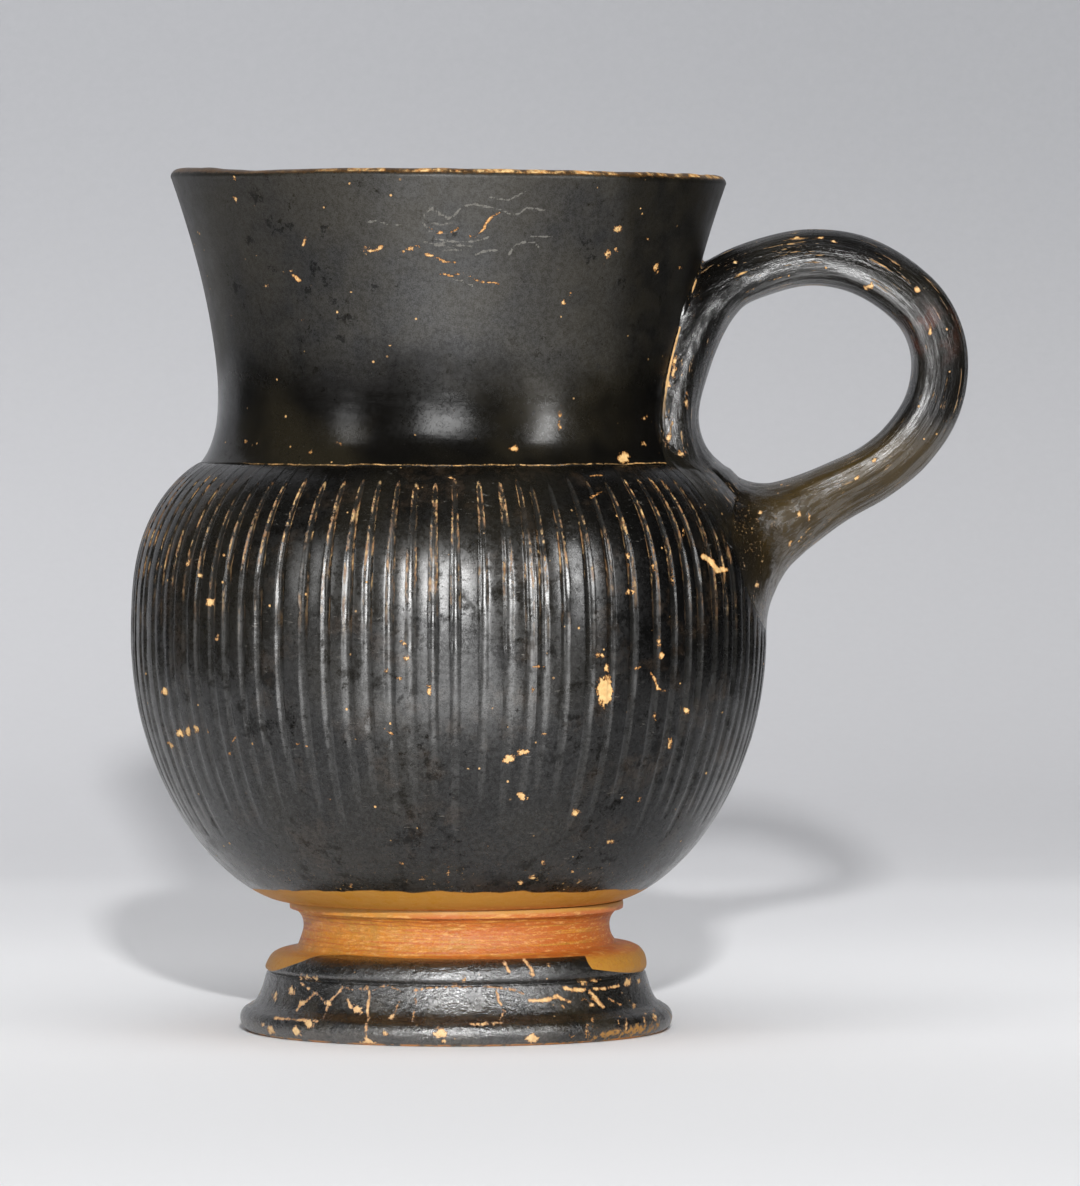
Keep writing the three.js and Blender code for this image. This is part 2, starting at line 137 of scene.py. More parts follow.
def bowl_outer(z):
    """The radius of the bowl's outside."""
    z = np.asarray(z, float)
    under = bulge((BELLY_Z - z) / (BELLY_Z - FOOT_JOINT_Z), *UNDER_BULGE)
    over = bulge((z - BELLY_Z) / (NECK_JOINT_Z - BELLY_Z), *OVER_BULGE)
    under = BOWL_SEAT_RADIUS + (BELLY_RADIUS - BOWL_SEAT_RADIUS) * under
    over = NECK_BASE_RADIUS + (BELLY_RADIUS - NECK_BASE_RADIUS) * over
    return np.where(z < BELLY_Z, under, over)


def bowl_inner(z):
    z = np.asarray(z, float)
    widest = BELLY_RADIUS - BOWL_WALL
    under = bulge((BELLY_Z - z) / (BELLY_Z - FOOT_JOINT_Z - BOWL_FLOOR), *INSIDE_BULGE)
    over = bulge((z - BELLY_Z) / (NECK_JOINT_Z - BOWL_WALL - BELLY_Z), *OVER_BULGE)
    return np.where(z < BELLY_Z, widest * under, BORE_RADIUS + (widest - BORE_RADIUS) * over)


def neck_outer(z):
    z = np.asarray(z, float)
    up = np.clip((z - NECK_WAIST_Z) / (LIP_Z - NECK_WAIST_Z), 0, 2)
    down = np.clip((NECK_WAIST_Z - z) / (NECK_WAIST_Z - NECK_JOINT_Z), 0, 1)
    flare = (LIP_RADIUS - NECK_WAIST_RADIUS) * up**NECK_FLARE_POWER
    return NECK_WAIST_RADIUS + flare + (NECK_BASE_RADIUS - NECK_WAIST_RADIUS) * down**NECK_BASE_POWER


def neck_inner(z):
    up = np.clip((z - NECK_WAIST_Z) / (LIP_Z - NECK_WAIST_Z), 0, 1)
    return neck_outer(np.maximum(z, NECK_WAIST_Z)) - NECK_WALL - (LIP_THICKNESS - NECK_WALL) * up


def vessel_outer(z):
    """The radius of the wall's outside."""
    return np.where(z < NECK_JOINT_Z, bowl_outer(z), neck_outer(z))


def spline(knots, t):
    """Points of a smooth curve through all knots but the first and last, at t, which counts knots."""
    i = np.minimum(t.astype(int), len(knots) - 4)
    u = (t - i)[:, None]
    a, b, c, d = (knots[i + k] for k in range(4))
    return 0.5 * (2 * b + (c - a) * u + (2 * a - 5 * b + 4 * c - d) * u**2 + (3 * b - a - 3 * c + d) * u**3)


# The fascia's edge as the way in from its radius and the way up from its foot, then from its top
FASCIA_LOWER = ((0.45, -0.05), (0.35, 0.12), (0.08, 0.4), (0, 0.75), (0.08, 1.2), (0.3, 1.75), (0.6, 2.2))
FASCIA_UPPER = ((1.05, -0.3), (1.7, -0.02), (2.5, 0.12))
TORUS_FROM, TORUS_TO = math.radians(-78), math.radians(72)
STEM_FOOT_FLARE = 0.9


def foot_outline():
    """The foot's outside from the resting ring up to the bowl, as [radius, height]."""
    cove_top = TORUS_HEIGHT + COVE_HEIGHT
    fascia_top = cove_top + FASCIA_HEIGHT
    torus = TORUS_HEIGHT / 2
    outline = [
        [TORUS_RADIUS - torus + torus * math.cos(a), torus + torus * math.sin(a)]
        for a in np.linspace(TORUS_FROM, TORUS_TO, 24)
    ]
    for s in np.linspace(0, 1, 24):
        radius = COVE_BOTTOM_RADIUS + (COVE_TOP_RADIUS - COVE_BOTTOM_RADIUS) * s**0.5
        outline.append([radius, TORUS_HEIGHT + 0.1 + (COVE_HEIGHT - 0.25) * s])
    fascia = [(FASCIA_RADIUS - inward, cove_top + up) for inward, up in FASCIA_LOWER]
    fascia += [(FASCIA_RADIUS - inward, fascia_top + up) for inward, up in FASCIA_UPPER]
    fascia = np.array(fascia)
    knots = np.array([2 * fascia[0] - fascia[1], *fascia, 2 * fascia[-1] - fascia[-2]])
    outline += spline(knots, np.linspace(0, len(fascia) - 1, 40)).tolist()
    stem_base = fascia_top + 0.25
    for s in np.linspace(0, 1, 30):
        flare = STEM_FLARE * (2 * s - 1) ** 2 * s + STEM_FOOT_FLARE * (1 - s) ** 4
        outline.append([STEM_RADIUS + flare, stem_base + (FOOT_JOINT_Z - SEAT_STEP - stem_base) * s])
    return outline


def soft_step(value, low, high):
    """Goes smoothly from 0 to 1 as value goes from low to high."""
    share = np.clip((value - low) / (high - low), 0, 1)
    return share * share * (3 - 2 * share)


def smoothed(values, times, closed=False):
    """The values, averaged with their neighbours again and again. The ends of an open row stay."""
    for _ in range(times):
        average = (np.roll(values, 1, 0) + 2 * values + np.roll(values, -1, 0)) / 4
        if not closed:
            average[[0, -1]] = values[[0, -1]]
        values = average
    return values


NOISE_WAVES = 28


def soft_noise(points, size, seed):
    """Smooth noise from -1 to 1, whose features are about that size."""
    rng = np.random.default_rng(seed)
    directions = rng.normal(size=(NOISE_WAVES, 3))
    frequencies = 2 * math.pi / size * rng.uniform(0.5, 1.7, NOISE_WAVES)
    directions *= (frequencies / np.linalg.norm(directions, axis=1))[:, None]
    phases = rng.uniform(0, 2 * math.pi, NOISE_WAVES)
    total = np.zeros(points.shape[:-1])
    for direction, phase in zip(directions, phases):
        total += np.sin(points @ direction + phase)
    return np.clip(total / math.sqrt(NOISE_WAVES / 2) / 1.6, -1, 1)


# Places that show in the photograph


def seen_at(px, py, radius_at, axis_x):
    """The place on a turned wall's front that shows at a pixel of the photograph."""
    right = (px - PHOTO_WIDTH_PX / 2) / PIXELS_PER_MM
    down = CAMERA_HEIGHT - (BASE_PX - py) / PIXELS_PER_MM
    depth = 0.0
    for _ in range(12):
        scale = 1 + depth / CAMERA_DISTANCE
        x, z = CAMERA_X + right * scale, CAMERA_HEIGHT - down * scale
        depth = -math.sqrt(max(float(radius_at(z)) ** 2 - (x - axis_x) ** 2, 0.05))
    return x, depth, z


def spot_sizes(px, py, wide, high, tilt=0):
    """A spot's pixel, its half width and half height in millimetres, and its tilt in degrees."""
    return (px, py), np.array([wide, high]) / 2 / PIXELS_PER_MM, tilt


def mark_level(points, marks, radius_at, axis_x=AXIS_X):
    """How far each place on a turned wall lies outside the nearest mark, up to 1 mm. Below 0 is inside.

    A spot is its pixel, its width and height in pixels, and its tilt unless that is 0.
    A stroke is its width and the pixels on its path.
    """
    level = np.full(len(points), 1.0)
    for mark in marks:
        if isinstance(mark[1], tuple):
            width, *path = mark
            places = [np.array(seen_at(px, py, radius_at, axis_x)) for px, py in path]
            for a, b in zip(places, places[1:]):
                reach = np.abs(b - a) / 2 + [1.5, 5, 1.5]
                near = np.flatnonzero((np.abs(points - (a + b) / 2) < reach).all(1))
                from_a, line = (points[near] - a)[:, ::2], (b - a)[::2]
                share = np.clip(from_a @ line / (line @ line), 0, 1)
                away = np.linalg.norm(from_a - share[:, None] * line, axis=1) - width / 2 / PIXELS_PER_MM
                level[near] = np.minimum(level[near], away)
            continue
        pixel, half, tilt = spot_sizes(*mark)
        reach = half.max() + 1
        place = np.array(seen_at(*pixel, radius_at, axis_x))
        near = np.flatnonzero((np.abs(points - place) < [reach, 5, reach]).all(1))
        dx, dz = (points[near] - place).T[::2]
        turn = math.radians(tilt)
        along = dx * math.cos(turn) - dz * math.sin(turn)
        across = dx * math.sin(turn) + dz * math.cos(turn)
        oval = (np.hypot(along / half[0], across / half[1]) - 1) * half.min()
        level[near] = np.minimum(level[near], oval)
    return level


# Meshes

TURNED_COLUMNS = 720
COIL_COLUMNS = 360


def make_piece(name, points, faces, attributes, material, node):
    """A smooth mesh piece from points in millimetres, standing for a CAD node."""
    mesh = bpy.data.meshes.new(name)
    mesh.from_pydata((points * MM).tolist(), [], faces)
    for key, values in attributes.items():
        attribute = mesh.attributes.new(key, "FLOAT", "POINT")
        attribute.data.foreach_set("value", values.astype(np.float32).ravel())
    mesh.shade_smooth()
    piece = bpy.data.objects.new(name, mesh)
    bpy.context.scene.collection.objects.link(piece)
    mesh.materials.append(material)
    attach(piece, "root")
    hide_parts(node)


def around_axis(radius, angles, height):
    """Points at those radii, angles and heights round the z axis."""
    return np.stack(np.broadcast_arrays(radius * np.cos(angles), radius * np.sin(angles), height), -1)


def grid_faces(rows, columns, closed=False):
    """Quads of a grid whose columns wrap round. Its rows wrap too where it is closed."""
    r, c = np.meshgrid(np.arange(rows if closed else rows - 1), np.arange(columns), indexing="ij")
    s, d = (r + 1) % rows, (c + 1) % columns
    corners = [r * columns + c, r * columns + d, s * columns + d, s * columns + c]
    return np.stack(corners, -1).reshape(-1, 4).tolist()


def cap_faces(rows, columns, first, last):
    """Triangles from the first and the last ring of a grid to their end points."""
    top = (rows - 1) * columns
    faces = []
    for c in range(columns):
        d = (c + 1) % columns
        faces += [(first, d, c), (last, top + c, top + d)]
    return faces


def turned_piece(name, profile, columns, axis_x, shape, material, node):
    """A turned piece from a profile that starts and ends on the axis, or closes on itself."""
    profile = np.array(profile, float)
    on_axis = profile[0][0] < 1e-6
    angles = np.linspace(0, 2 * math.pi, columns, endpoint=False)
    body = profile[1:-1] if on_axis else profile
    points, attributes = shape(around_axis(body[:, :1], angles, body[:, 1:]), angles)
    rows = len(body)
    faces = grid_faces(rows, columns, closed=not on_axis)
    flat = points.reshape(-1, 3)
    if on_axis:
        flat = np.concatenate([flat, [[0, 0, profile[0][1]], [0, 0, profile[-1][1]]]])
        attributes = {k: np.append(v.ravel(), [v.max()] * 2) for k, v in attributes.items()}
        faces += cap_faces(rows, columns, len(flat) - 2, len(flat) - 1)
    make_piece(name, flat + [axis_x, 0, 0], faces, attributes, material, node)


def turned_xy(radius, angles):
    """The x and y of places at those radii and angles."""
    return radius[..., None] * np.stack([np.cos(angles), np.sin(angles)], -1)[None]


# Marks in the gloss, as pixels of the photograph

BOWL_CHIPS = [
    (605, 691, 16, 30), (606, 668, 5, 8), (601, 655, 8, 6, 20), (624, 458, 11, 13), (210, 602, 9, 8),
    (200, 576, 6, 5), (217, 638, 5, 6), (164, 692, 6, 8), (180, 734, 10, 8, 20), (188, 731, 6, 10),
    (196, 730, 5, 8), (206, 731, 3, 5), (170, 746, 4, 8, -20), (407, 659, 5, 6), (404, 643, 8, 3, 25),
    (386, 672, 6, 5, 20), (419, 663, 3, 3), (399, 678, 4, 2, 30), (429, 690, 3, 9, -10), (223, 556, 3, 5),
    (188, 561, 3, 6, 10), (449, 478, 5, 3), (514, 448, 7, 5), (686, 711, 6, 8, 20), (662, 656, 4, 5),
    (659, 641, 3, 8), (655, 717, 4, 7), (670, 745, 3, 10), (524, 753, 10, 6, 15), (509, 759, 11, 7, -20),
    (544, 733, 5, 4), (628, 592, 5, 4), (633, 590, 3, 8), (673, 577, 3, 10), (628, 556, 3, 14, -5),
    (653, 563, 3, 12, -8), (683, 532, 3, 5), (732, 533, 3, 20, -12), (533, 691, 2, 6), (576, 813, 9, 7),
    (522, 797, 11, 7, 10), (545, 828, 5, 3), (610, 842, 9, 4, 10), (448, 872, 2, 11), (422, 879, 5, 5),
    (533, 878, 5, 3), (544, 866, 2, 11, -15), (573, 873, 3, 3), (520, 883, 6, 3), (351, 887, 4, 4),
    (402, 863, 3, 2), (488, 846, 2, 3), (330, 800, 3, 3), (640, 800, 3, 4), (455, 800, 3, 2),
]
BOWL_STROKES = [
    (6, (704, 556), (712, 563), (717, 570), (725, 570)),
    (2, (635, 669), (642, 666), (649, 671), (655, 679), (658, 689), (666, 692)),
    (1.5, (588, 476), (602, 475)), (1.5, (600, 485), (602, 492), (588, 499)),
    (2, (236, 737), (231, 743), (229, 756)), (1.2, (290, 739), (298, 745), (311, 747)),
    (1.2, (383, 728), (393, 735)), (1.5, (533, 667), (545, 666)),
]
NECK_CHIPS = [
    (608, 254, 5, 7), (648, 238, 3, 3), (656, 268, 4, 9, -8), (563, 302, 4, 4), (570, 294, 2, 2),
    (616, 249, 2, 4), (680, 268, 2, 2), (236, 198, 3, 6, -15), (235, 178, 3, 3), (291, 271, 2.5, 2.5),
    (267, 286, 4, 3), (231, 315, 2, 2), (302, 320, 2, 2), (402, 280, 4, 2.5), (375, 250, 16, 2, -3),
    (373, 247.5, 10, 1.5, -3), (411, 249, 11, 2.5, -14), (624, 458, 11, 13), (514, 448, 7, 6),
    (643, 444, 6, 3), (680, 454, 9, 4, 20), (339, 443, 5, 3), (246, 441, 2, 2), (644, 418, 5, 3, -20),
    (560, 420, 1.5, 14), (311, 452, 3, 3), (617.6, 229, 8, 8),
]
NECK_STROKES = [
    (2.5, (426, 254), (436, 257), (445, 262), (455, 263)), (2.5, (293, 275), (300, 281)),
    (2, (303, 245), (306, 237)),
    (1.8, (440, 273), (452, 276), (464, 273), (473, 278), (480, 282), (498, 283), (499, 285)),
    (1.8, (501, 212), (489, 219), (484, 229), (477, 236), (469, 237)),
    (2, (430, 228), (438, 233), (452, 232), (458, 228)),
]
NECK_SCRATCHES = [
    (1.3, (489, 197), (507, 201), (515, 197), (525, 192)),
    (1.3, (430, 208), (439, 213), (449, 219), (456, 214), (460, 209)),
    (1.3, (465, 206), (475, 204), (487, 207), (498, 209), (505, 212)),
    (1.3, (505, 212), (512, 215), (519, 214), (527, 208), (544, 210)),
    (1.2, (430, 223), (442, 225), (452, 223)),
    (1.2, (430, 238), (444, 240), (460, 243), (477, 241), (489, 237)),
    (1.2, (434, 245), (450, 247), (466, 245), (473, 247)), (1.3, (476, 255), (485, 251), (498, 250)),
    (1.2, (509, 255), (515, 245), (525, 242), (535, 243), (539, 247)),
    (1.2, (452, 279), (462, 281), (473, 286)), (1.2, (531, 236), (552, 237)),
    (1.2, (368, 222), (376, 221), (388, 224)), (1.2, (397, 225), (407, 226), (417, 226)),
    (1.2, (423, 219), (425, 213), (434, 208), (439, 215)),
    (1.2, (423, 223), (430, 231), (445, 234), (457, 231)), (1.2, (423, 242), (435, 244), (447, 242)),
    (1.2, (440, 251), (455, 250), (468, 251)),
]
NECK_DARK_SPOTS = [
    (324, 230, 7, 8, 20), (256, 196, 7, 13, -20), (271, 269, 7, 7), (315, 268, 7, 11, 15), (325, 284, 5, 6),
    (374, 287, 7, 7), (236, 286, 6, 10, -20), (348, 318, 13, 8, 10), (336, 303, 8, 7), (268, 220, 9, 10),
    (280, 231, 10, 9), (290, 226, 6, 7), (308, 290, 8, 5), (622, 282, 6, 7), (590, 255, 5, 10),
    (617.6, 229, 3, 3), (585, 242, 5, 5), (250, 240, 8, 7), (341, 338, 9, 6),
]
FOOT_CHIPS = [
    (307, 978, 8, 6), (300, 978, 4, 5), (316, 979, 6, 5), (327, 1003.5, 7, 6), (368, 1043, 15, 7),
    (357, 1011, 10, 8, 30), (309, 1025, 9, 9), (270, 1031, 6, 12, -25), (296, 1032, 7, 11, -25),
    (262, 1026, 4, 5), (274, 998, 5, 9, 10), (291, 992, 7, 9), (302, 1004, 6, 6), (385, 1034, 5, 5),
    (440, 1034, 13, 10), (444, 1043, 4, 4), (591, 1006, 6, 3, 20), (586, 1001, 7, 2), (634, 1007, 4, 5),
    (532, 975, 5, 4, -30), (548, 966, 4, 4, 30), (583, 984, 9, 3, 5), (594, 982, 6, 2), (628, 983, 8, 7),
    (639, 982, 4, 5), (587, 1028, 2, 9), (619, 1026, 2, 10), (627, 1028, 3, 10), (655, 1018, 4, 9, -10),
    (644, 1021, 2, 6), (532, 1040, 13, 9), (480, 1025.5, 13, 2.5), (496, 1025, 7, 2.5), (571, 1038, 8, 2.5),
    (464, 980, 3, 9), (391, 1018, 6, 5), (364, 989, 6, 4), (369, 999, 4, 8), (343, 988.5, 4, 4),
]
FOOT_SMUDGES = [
    (622, 1034, 50, 6, -2), (605, 1037, 22, 5, -3), (640, 1032, 26, 4, -3),
]
FOOT_STROKES = [
    (2, (300, 984), (308, 990), (315, 994), (325, 1003)),
    (2, (314, 995), (306, 1003), (300, 1005), (296, 1012)), (2, (328, 1003), (326, 1012), (323, 1020)),
    (2, (328, 1003), (336, 996), (343, 988)), (1.8, (343, 988), (355, 992), (364, 988), (369, 992)),
    (3, (369, 992), (369, 999), (367, 1011), (368, 1021)), (2.2, (368, 1021), (365, 1028), (366, 1039)),
    (1.6, (372, 992), (383, 987), (388, 987), (400, 992)), (3.2, (347, 1000), (350, 1008), (358, 1012)),
    (2.6, (399, 1003), (394, 1014), (391, 1020)), (1.8, (416, 990), (415.6, 1006), (412, 1022)),
    (2.6, (274, 1019.5), (295, 1021), (316, 1022.5)), (1.4, (412, 992), (430, 989), (459, 987)),
    (1.4, (440, 988), (488, 988), (516, 991)), (2, (510, 991), (524, 995)),
    (2, (496, 991), (499, 1002), (504, 1013), (500, 1021)),
    (4, (530, 1001.5), (539, 1002), (552, 1000), (557, 997)), (3, (557, 997), (564, 1001), (570, 1004)),
    (4, (564, 989), (572, 991), (584, 991)), (3, (593, 990), (606, 989.5), (619, 987)),
    (4, (590, 993), (595, 998), (599, 1004), (603, 1009)), (2, (563, 1007), (564, 1011)),
    (1.3, (609, 1000), (622, 1007)), (3, (504, 963), (509, 973)), (3, (524, 960), (532, 971)),
    (2.2, (592, 1020), (593, 1027)),
]


# Materials. Sizes are in millimetres. A step goes from 0 to 1 between its two numbers, which are levels of
# noise around 0.5, or heights, or widths on the mug.


class Value:
    """A value that varies over a surface. Plain arithmetic with it adds nodes to the material."""

    def __init__(self, shading, socket):
        self.shading, self.socket = shading, socket

    def __add__(self, other):
        return self.shading.math("ADD", self, other)

    def __sub__(self, other):
        return self.shading.math("SUBTRACT", self, other)

    def __rsub__(self, other):
        return self.shading.math("SUBTRACT", other, self)

    def __mul__(self, other):
        return self.shading.math("MULTIPLY", self, other)


class Shading:
    """Short calls that add nodes to a material and join them."""

    def __init__(self, name):
        self.material = bpy.data.materials.new(name)
        self.material.use_nodes = True
        self.tree = self.material.node_tree
        self.shader = self.tree.nodes["Principled BSDF"]
        self.place = self.stretched((1 / MM, 1 / MM, 1 / MM), self.node("TexCoord", {}, "Object"))
        split = self.tree.nodes.new("ShaderNodeSeparateXYZ")
        self.put(self.place, split.inputs[0])
        self.x, self.y, self.z = (Value(self, socket) for socket in split.outputs)

    def put(self, value, socket):
        """Links a value to a node's socket, or sets the socket to a number or colour."""
        if isinstance(value, Value):
            self.tree.links.new(value.socket, socket)
        else:
            socket.default_value = value

    def node(self, kind, inputs, output=0, **settings):
        """Adds a node with those inputs and settings, and gives one of its outputs."""
        node = self.tree.nodes.new("ShaderNode" + kind)
        for key, setting in settings.items():
            setattr(node, key, setting)
        for key, value in inputs.items():
            self.put(value, node.inputs[key])
        return Value(self, node.outputs[output])

    def math(self, operation, a, b=0.0):
        return self.node("Math", {0: a, 1: b}, operation=operation)

    def step(self, value, low, high, out_low=0.0, out_high=1.0):
        """Goes smoothly from out_low to out_high as value goes from low to high."""
        inputs = {"Value": value, "From Min": low, "From Max": high, "To Min": out_low, "To Max": out_high}
        return self.node("MapRange", inputs, "Result", interpolation_type="SMOOTHSTEP")

    def stretched(self, scale, place=None):
        return self.node("Mapping", {"Scale": scale, "Vector": place or self.place}, "Vector")

    def noise(self, size, detail=3.0, rough=0.5, stretch=(1, 1, 1), place=None):
        vector = self.stretched(stretch, place)
        inputs = {"Scale": 1 / size, "Detail": detail, "Roughness": rough, "Vector": vector}
        return self.node("TexNoise", inputs, "Fac")

    def cells(self, size, feature="F1"):
        inputs = {"Scale": 1 / size, "Vector": self.stretched((1, 1, 1))}
        return self.node("TexVoronoi", inputs, "Distance", feature=feature)

    def attribute(self, name):
        return self.node("Attribute", {}, "Fac", attribute_name=name)

    def mix(self, share, a, b):
        return self.node("Mix", {"Factor": share, "A": a, "B": b}, "Result", data_type="RGBA")

    def ovals(self, places, depth):
        """Below 1 inside any of the oval marks. Each has a place, two half sizes and a tilt."""
        least = None
        for place, wide, high, tilt in places:
            turn, scale = (0, math.radians(tilt), 0), (wide, depth, high)
            inputs = {"Location": place, "Rotation": turn, "Scale": scale, "Vector": self.place}
            oval = self.node("Mapping", inputs, "Vector", vector_type="TEXTURE")
            away = self.node("VectorMath", {0: oval}, "Value", operation="LENGTH")
            least = away if least is None else self.math("MINIMUM", least, away)
        return least

    def finish(self, colour, roughness, heights, distance):
        """The material, with bumps of that distance in millimetres where heights are 1 apart."""
        normal = self.node("Bump", {"Distance": distance * MM, "Height": heights}, "Normal")
        for key, value in (("Base Color", colour), ("Roughness", roughness), ("Normal", normal)):
            self.put(value, self.shader.inputs[key])
        return self.material


GLOSS = (0.0030, 0.0027, 0.0022, 1)
GLOSS_OLIVE = (0.017, 0.0140, 0.0080, 1)
# The gloss's deepest black, also used as painted shade towards the handle and on the backdrop's right
GLOSS_DEEP_AND_SHADE = (0.0020, 0.0020, 0.0020, 1)
GLOSS_THIN = (0.042, 0.027, 0.008, 1)
GLOSS_RED = (0.085, 0.022, 0.010, 1)
# grey for the polished grooves: partly worn gloss, partly painted sheen
GLOSS_WORN_AND_SHEEN = (0.030, 0.029, 0.026, 1)
GLOSS_EARTHY = (0.028, 0.022, 0.013, 1)
GLOSS_BROWN = (0.026, 0.017, 0.010, 1)
SCRATCH_GREY = (0.16, 0.15, 0.13, 1)
CHIP_CREAM = (0.78, 0.53, 0.23, 1)
CHIP_ORANGE = (0.48, 0.20, 0.045, 1)
RUBBED_CREAM = (0.58, 0.37, 0.15, 1)
RUBBED_BROWN = (0.26, 0.125, 0.045, 1)
LIP_BROWN = (0.050, 0.024, 0.006, 1)
CLAY_ORANGE = (0.58, 0.225, 0.024, 1)
CLAY_RED = (0.47, 0.120, 0.018, 1)
CLAY_PALE = (0.72, 0.38, 0.11, 1)
CLAY_DARK = (0.36, 0.10, 0.018, 1)
CLAY_OCHRE = (0.45, 0.21, 0.028, 1)


class Gloss(Shading):
    """Black slip gloss over clay. Wear and painted shade are added to it step by step."""

    def __init__(self, name, olive=0.5, seed=0.0, smooth=0.24, rough=0.42, sheen=0.55):
        super().__init__(name)
        self.broad = self.noise(15 + seed, 3, 0.55)
        self.medium = self.noise(3.1, 4, 0.6)
        self.fine = self.noise(0.55, 4, 0.65)
        self.grain = self.noise(0.13, 2, 0.5)
        wheel = self.noise(0.9, 3, 0.6, stretch=(0.12, 0.12, 2.6))
        self.ragged = self.step(self.noise(0.8, 5, 0.8), 0.32, 0.68, -0.5, 0.5)
        colour = self.mix(self.step(self.broad, 0.40, 0.62, 0, olive), GLOSS, GLOSS_OLIVE)
        deep = self.step(self.noise(1.7, 5, 0.75), 0.60, 0.68) * self.step(self.broad, 0.5, 0.62)
        self.colour = self.mix(deep, colour, GLOSS_DEEP_AND_SHADE)
        dull = self.step(self.noise(1.3, 5, 0.8), 0.56, 0.66)
        dull = dull * self.step(self.noise(11, 3, 0.6), 0.44, 0.60)
        speckle = self.grain * 0.5 + self.fine * 0.5
        speckle = self.step(speckle, 0.36, 0.64, 0.62, 1.3)
        self.sheen = self.step(dull, 0, 1, sheen, sheen * 0.3) * speckle
        uneven = self.medium * 0.6 + self.fine * 0.4
        self.roughness = self.step(uneven, 0.3, 0.7, smooth, rough)
        self.heights = self.fine * 0.14 + self.grain * 0.05 + wheel * 0.10 + self.medium * 0.30

    def wear(self, inside, clay=None, depth=0.5, roughness=0.75):
        """Shows clay where inside is 1, a little below the gloss: cream and orange, or the one given."""
        if clay is None:
            clay = self.mix(self.medium, CHIP_ORANGE, CHIP_CREAM)
        self.colour = self.mix(inside, self.colour, clay)
        self.roughness += (roughness - self.roughness) * inside
        self.heights -= inside * depth

    def chip(self, level, cracks=None):
        """Ragged chips where level is below 0 and fine cracks, orange at the rim and cream inside."""
        level = level + 0.06 + self.ragged * 0.5
        if cracks is not None:
            fine = cracks + 0.04 + self.ragged * 0.28
            level = self.math("MINIMUM", level, fine)
        clay = self.mix(self.step(level, -0.02, -0.14), CHIP_ORANGE, CHIP_CREAM)
        clay = self.mix(self.step(self.fine, 0.35, 0.65, 0.4, 0), clay, CHIP_ORANGE)
        self.wear(self.step(level, 0.03, -0.03), clay, 0.8)

    def scratch(self, level):
        """Thin pale scratches where level is below 0, a little proud."""
        self.wear(self.step(level + self.ragged * 0.2, 0.06, -0.03, 0, 0.6), SCRATCH_GREY, -0.3, 0.5)

    def darken(self, inside):
        """Bare dark spots, where the gloss has lost its sheen."""
        self.colour = self.mix(inside, self.colour, GLOSS_DEEP_AND_SHADE)
        self.sheen *= self.step(inside, 0, 1, 1, 0.25)

    def shade_towards_handle(self, start, end, sheen):
        """Painted shade: the gloss is painted darker and made less shiny towards the handle side."""
        right = self.step(self.x + self.broad * 8, start, end)
        self.colour = self.mix(right * 0.8, self.colour, GLOSS_DEEP_AND_SHADE)
        self.sheen *= self.step(right, 0, 1, 1, sheen)

    def specks(self, share=0.5):
        """Tiny cream and orange pits, scattered in patches."""
        spread = self.step(self.noise(9, 2, 0.5), 0.42, 0.66, 0.0, share)
        dots = self.step(self.cells(1.9), 0.10, 0.06)
        chosen = self.step(self.noise(1.3, 1, 0.5), 0.50, 0.56)
        clay = self.mix(self.medium, CHIP_ORANGE, CHIP_CREAM)
        self.wear(dots * chosen * self.step(spread, 0.02, 0.2), clay, 0.4)
        dust = self.step(self.cells(0.8), 0.055, 0.035)
        dust = dust * self.step(self.noise(2.2, 3, 0.6), 0.50, 0.58)
        self.wear(dust * 0.4, SCRATCH_GREY, -0.2, 0.6)

    def done(self, distance=0.06):
        """The finished material."""
        self.put(self.sheen, self.shader.inputs["Specular IOR Level"])
        return self.finish(self.colour, self.roughness, self.heights, distance)


def bare_clay(s):
    """Bare clay: ochre, orange and red in bands that the wheel drew, and redder towards the handle side as
    painted shade.
    """
    lines = s.noise(0.9, 4, 0.65, stretch=(0.05, 0.05, 2.4))
    mottle = s.noise(2.2, 4, 0.65)
    colour = s.mix(s.step(mottle, 0.35, 0.65), CLAY_ORANGE, CLAY_OCHRE)
    # painted shade: the clay turns redder and darker towards the handle side
    red_bands_and_shade = s.step(lines + s.step(s.x, -22, 8) * 0.15, 0.46, 0.62, 0, 0.95)
    colour = s.mix(red_bands_and_shade, colour, CLAY_RED)
    paler = s.step(s.noise(0.5, 5, 0.8, stretch=(0.3, 0.3, 1.5)), 0.52, 0.62, 0, 0.7)
    return s.mix(paler, colour, CLAY_PALE)


OCHRE_LEVELS = (16.0, 16.6)  # the bare clay turns from the stem's red to ochre
GLOSS_END_LEVELS = (17.32, 17.16)  # the bowl is bare below
RUBBED_LEVELS = (48, 61)  # the edges of the ribs are rubbed above


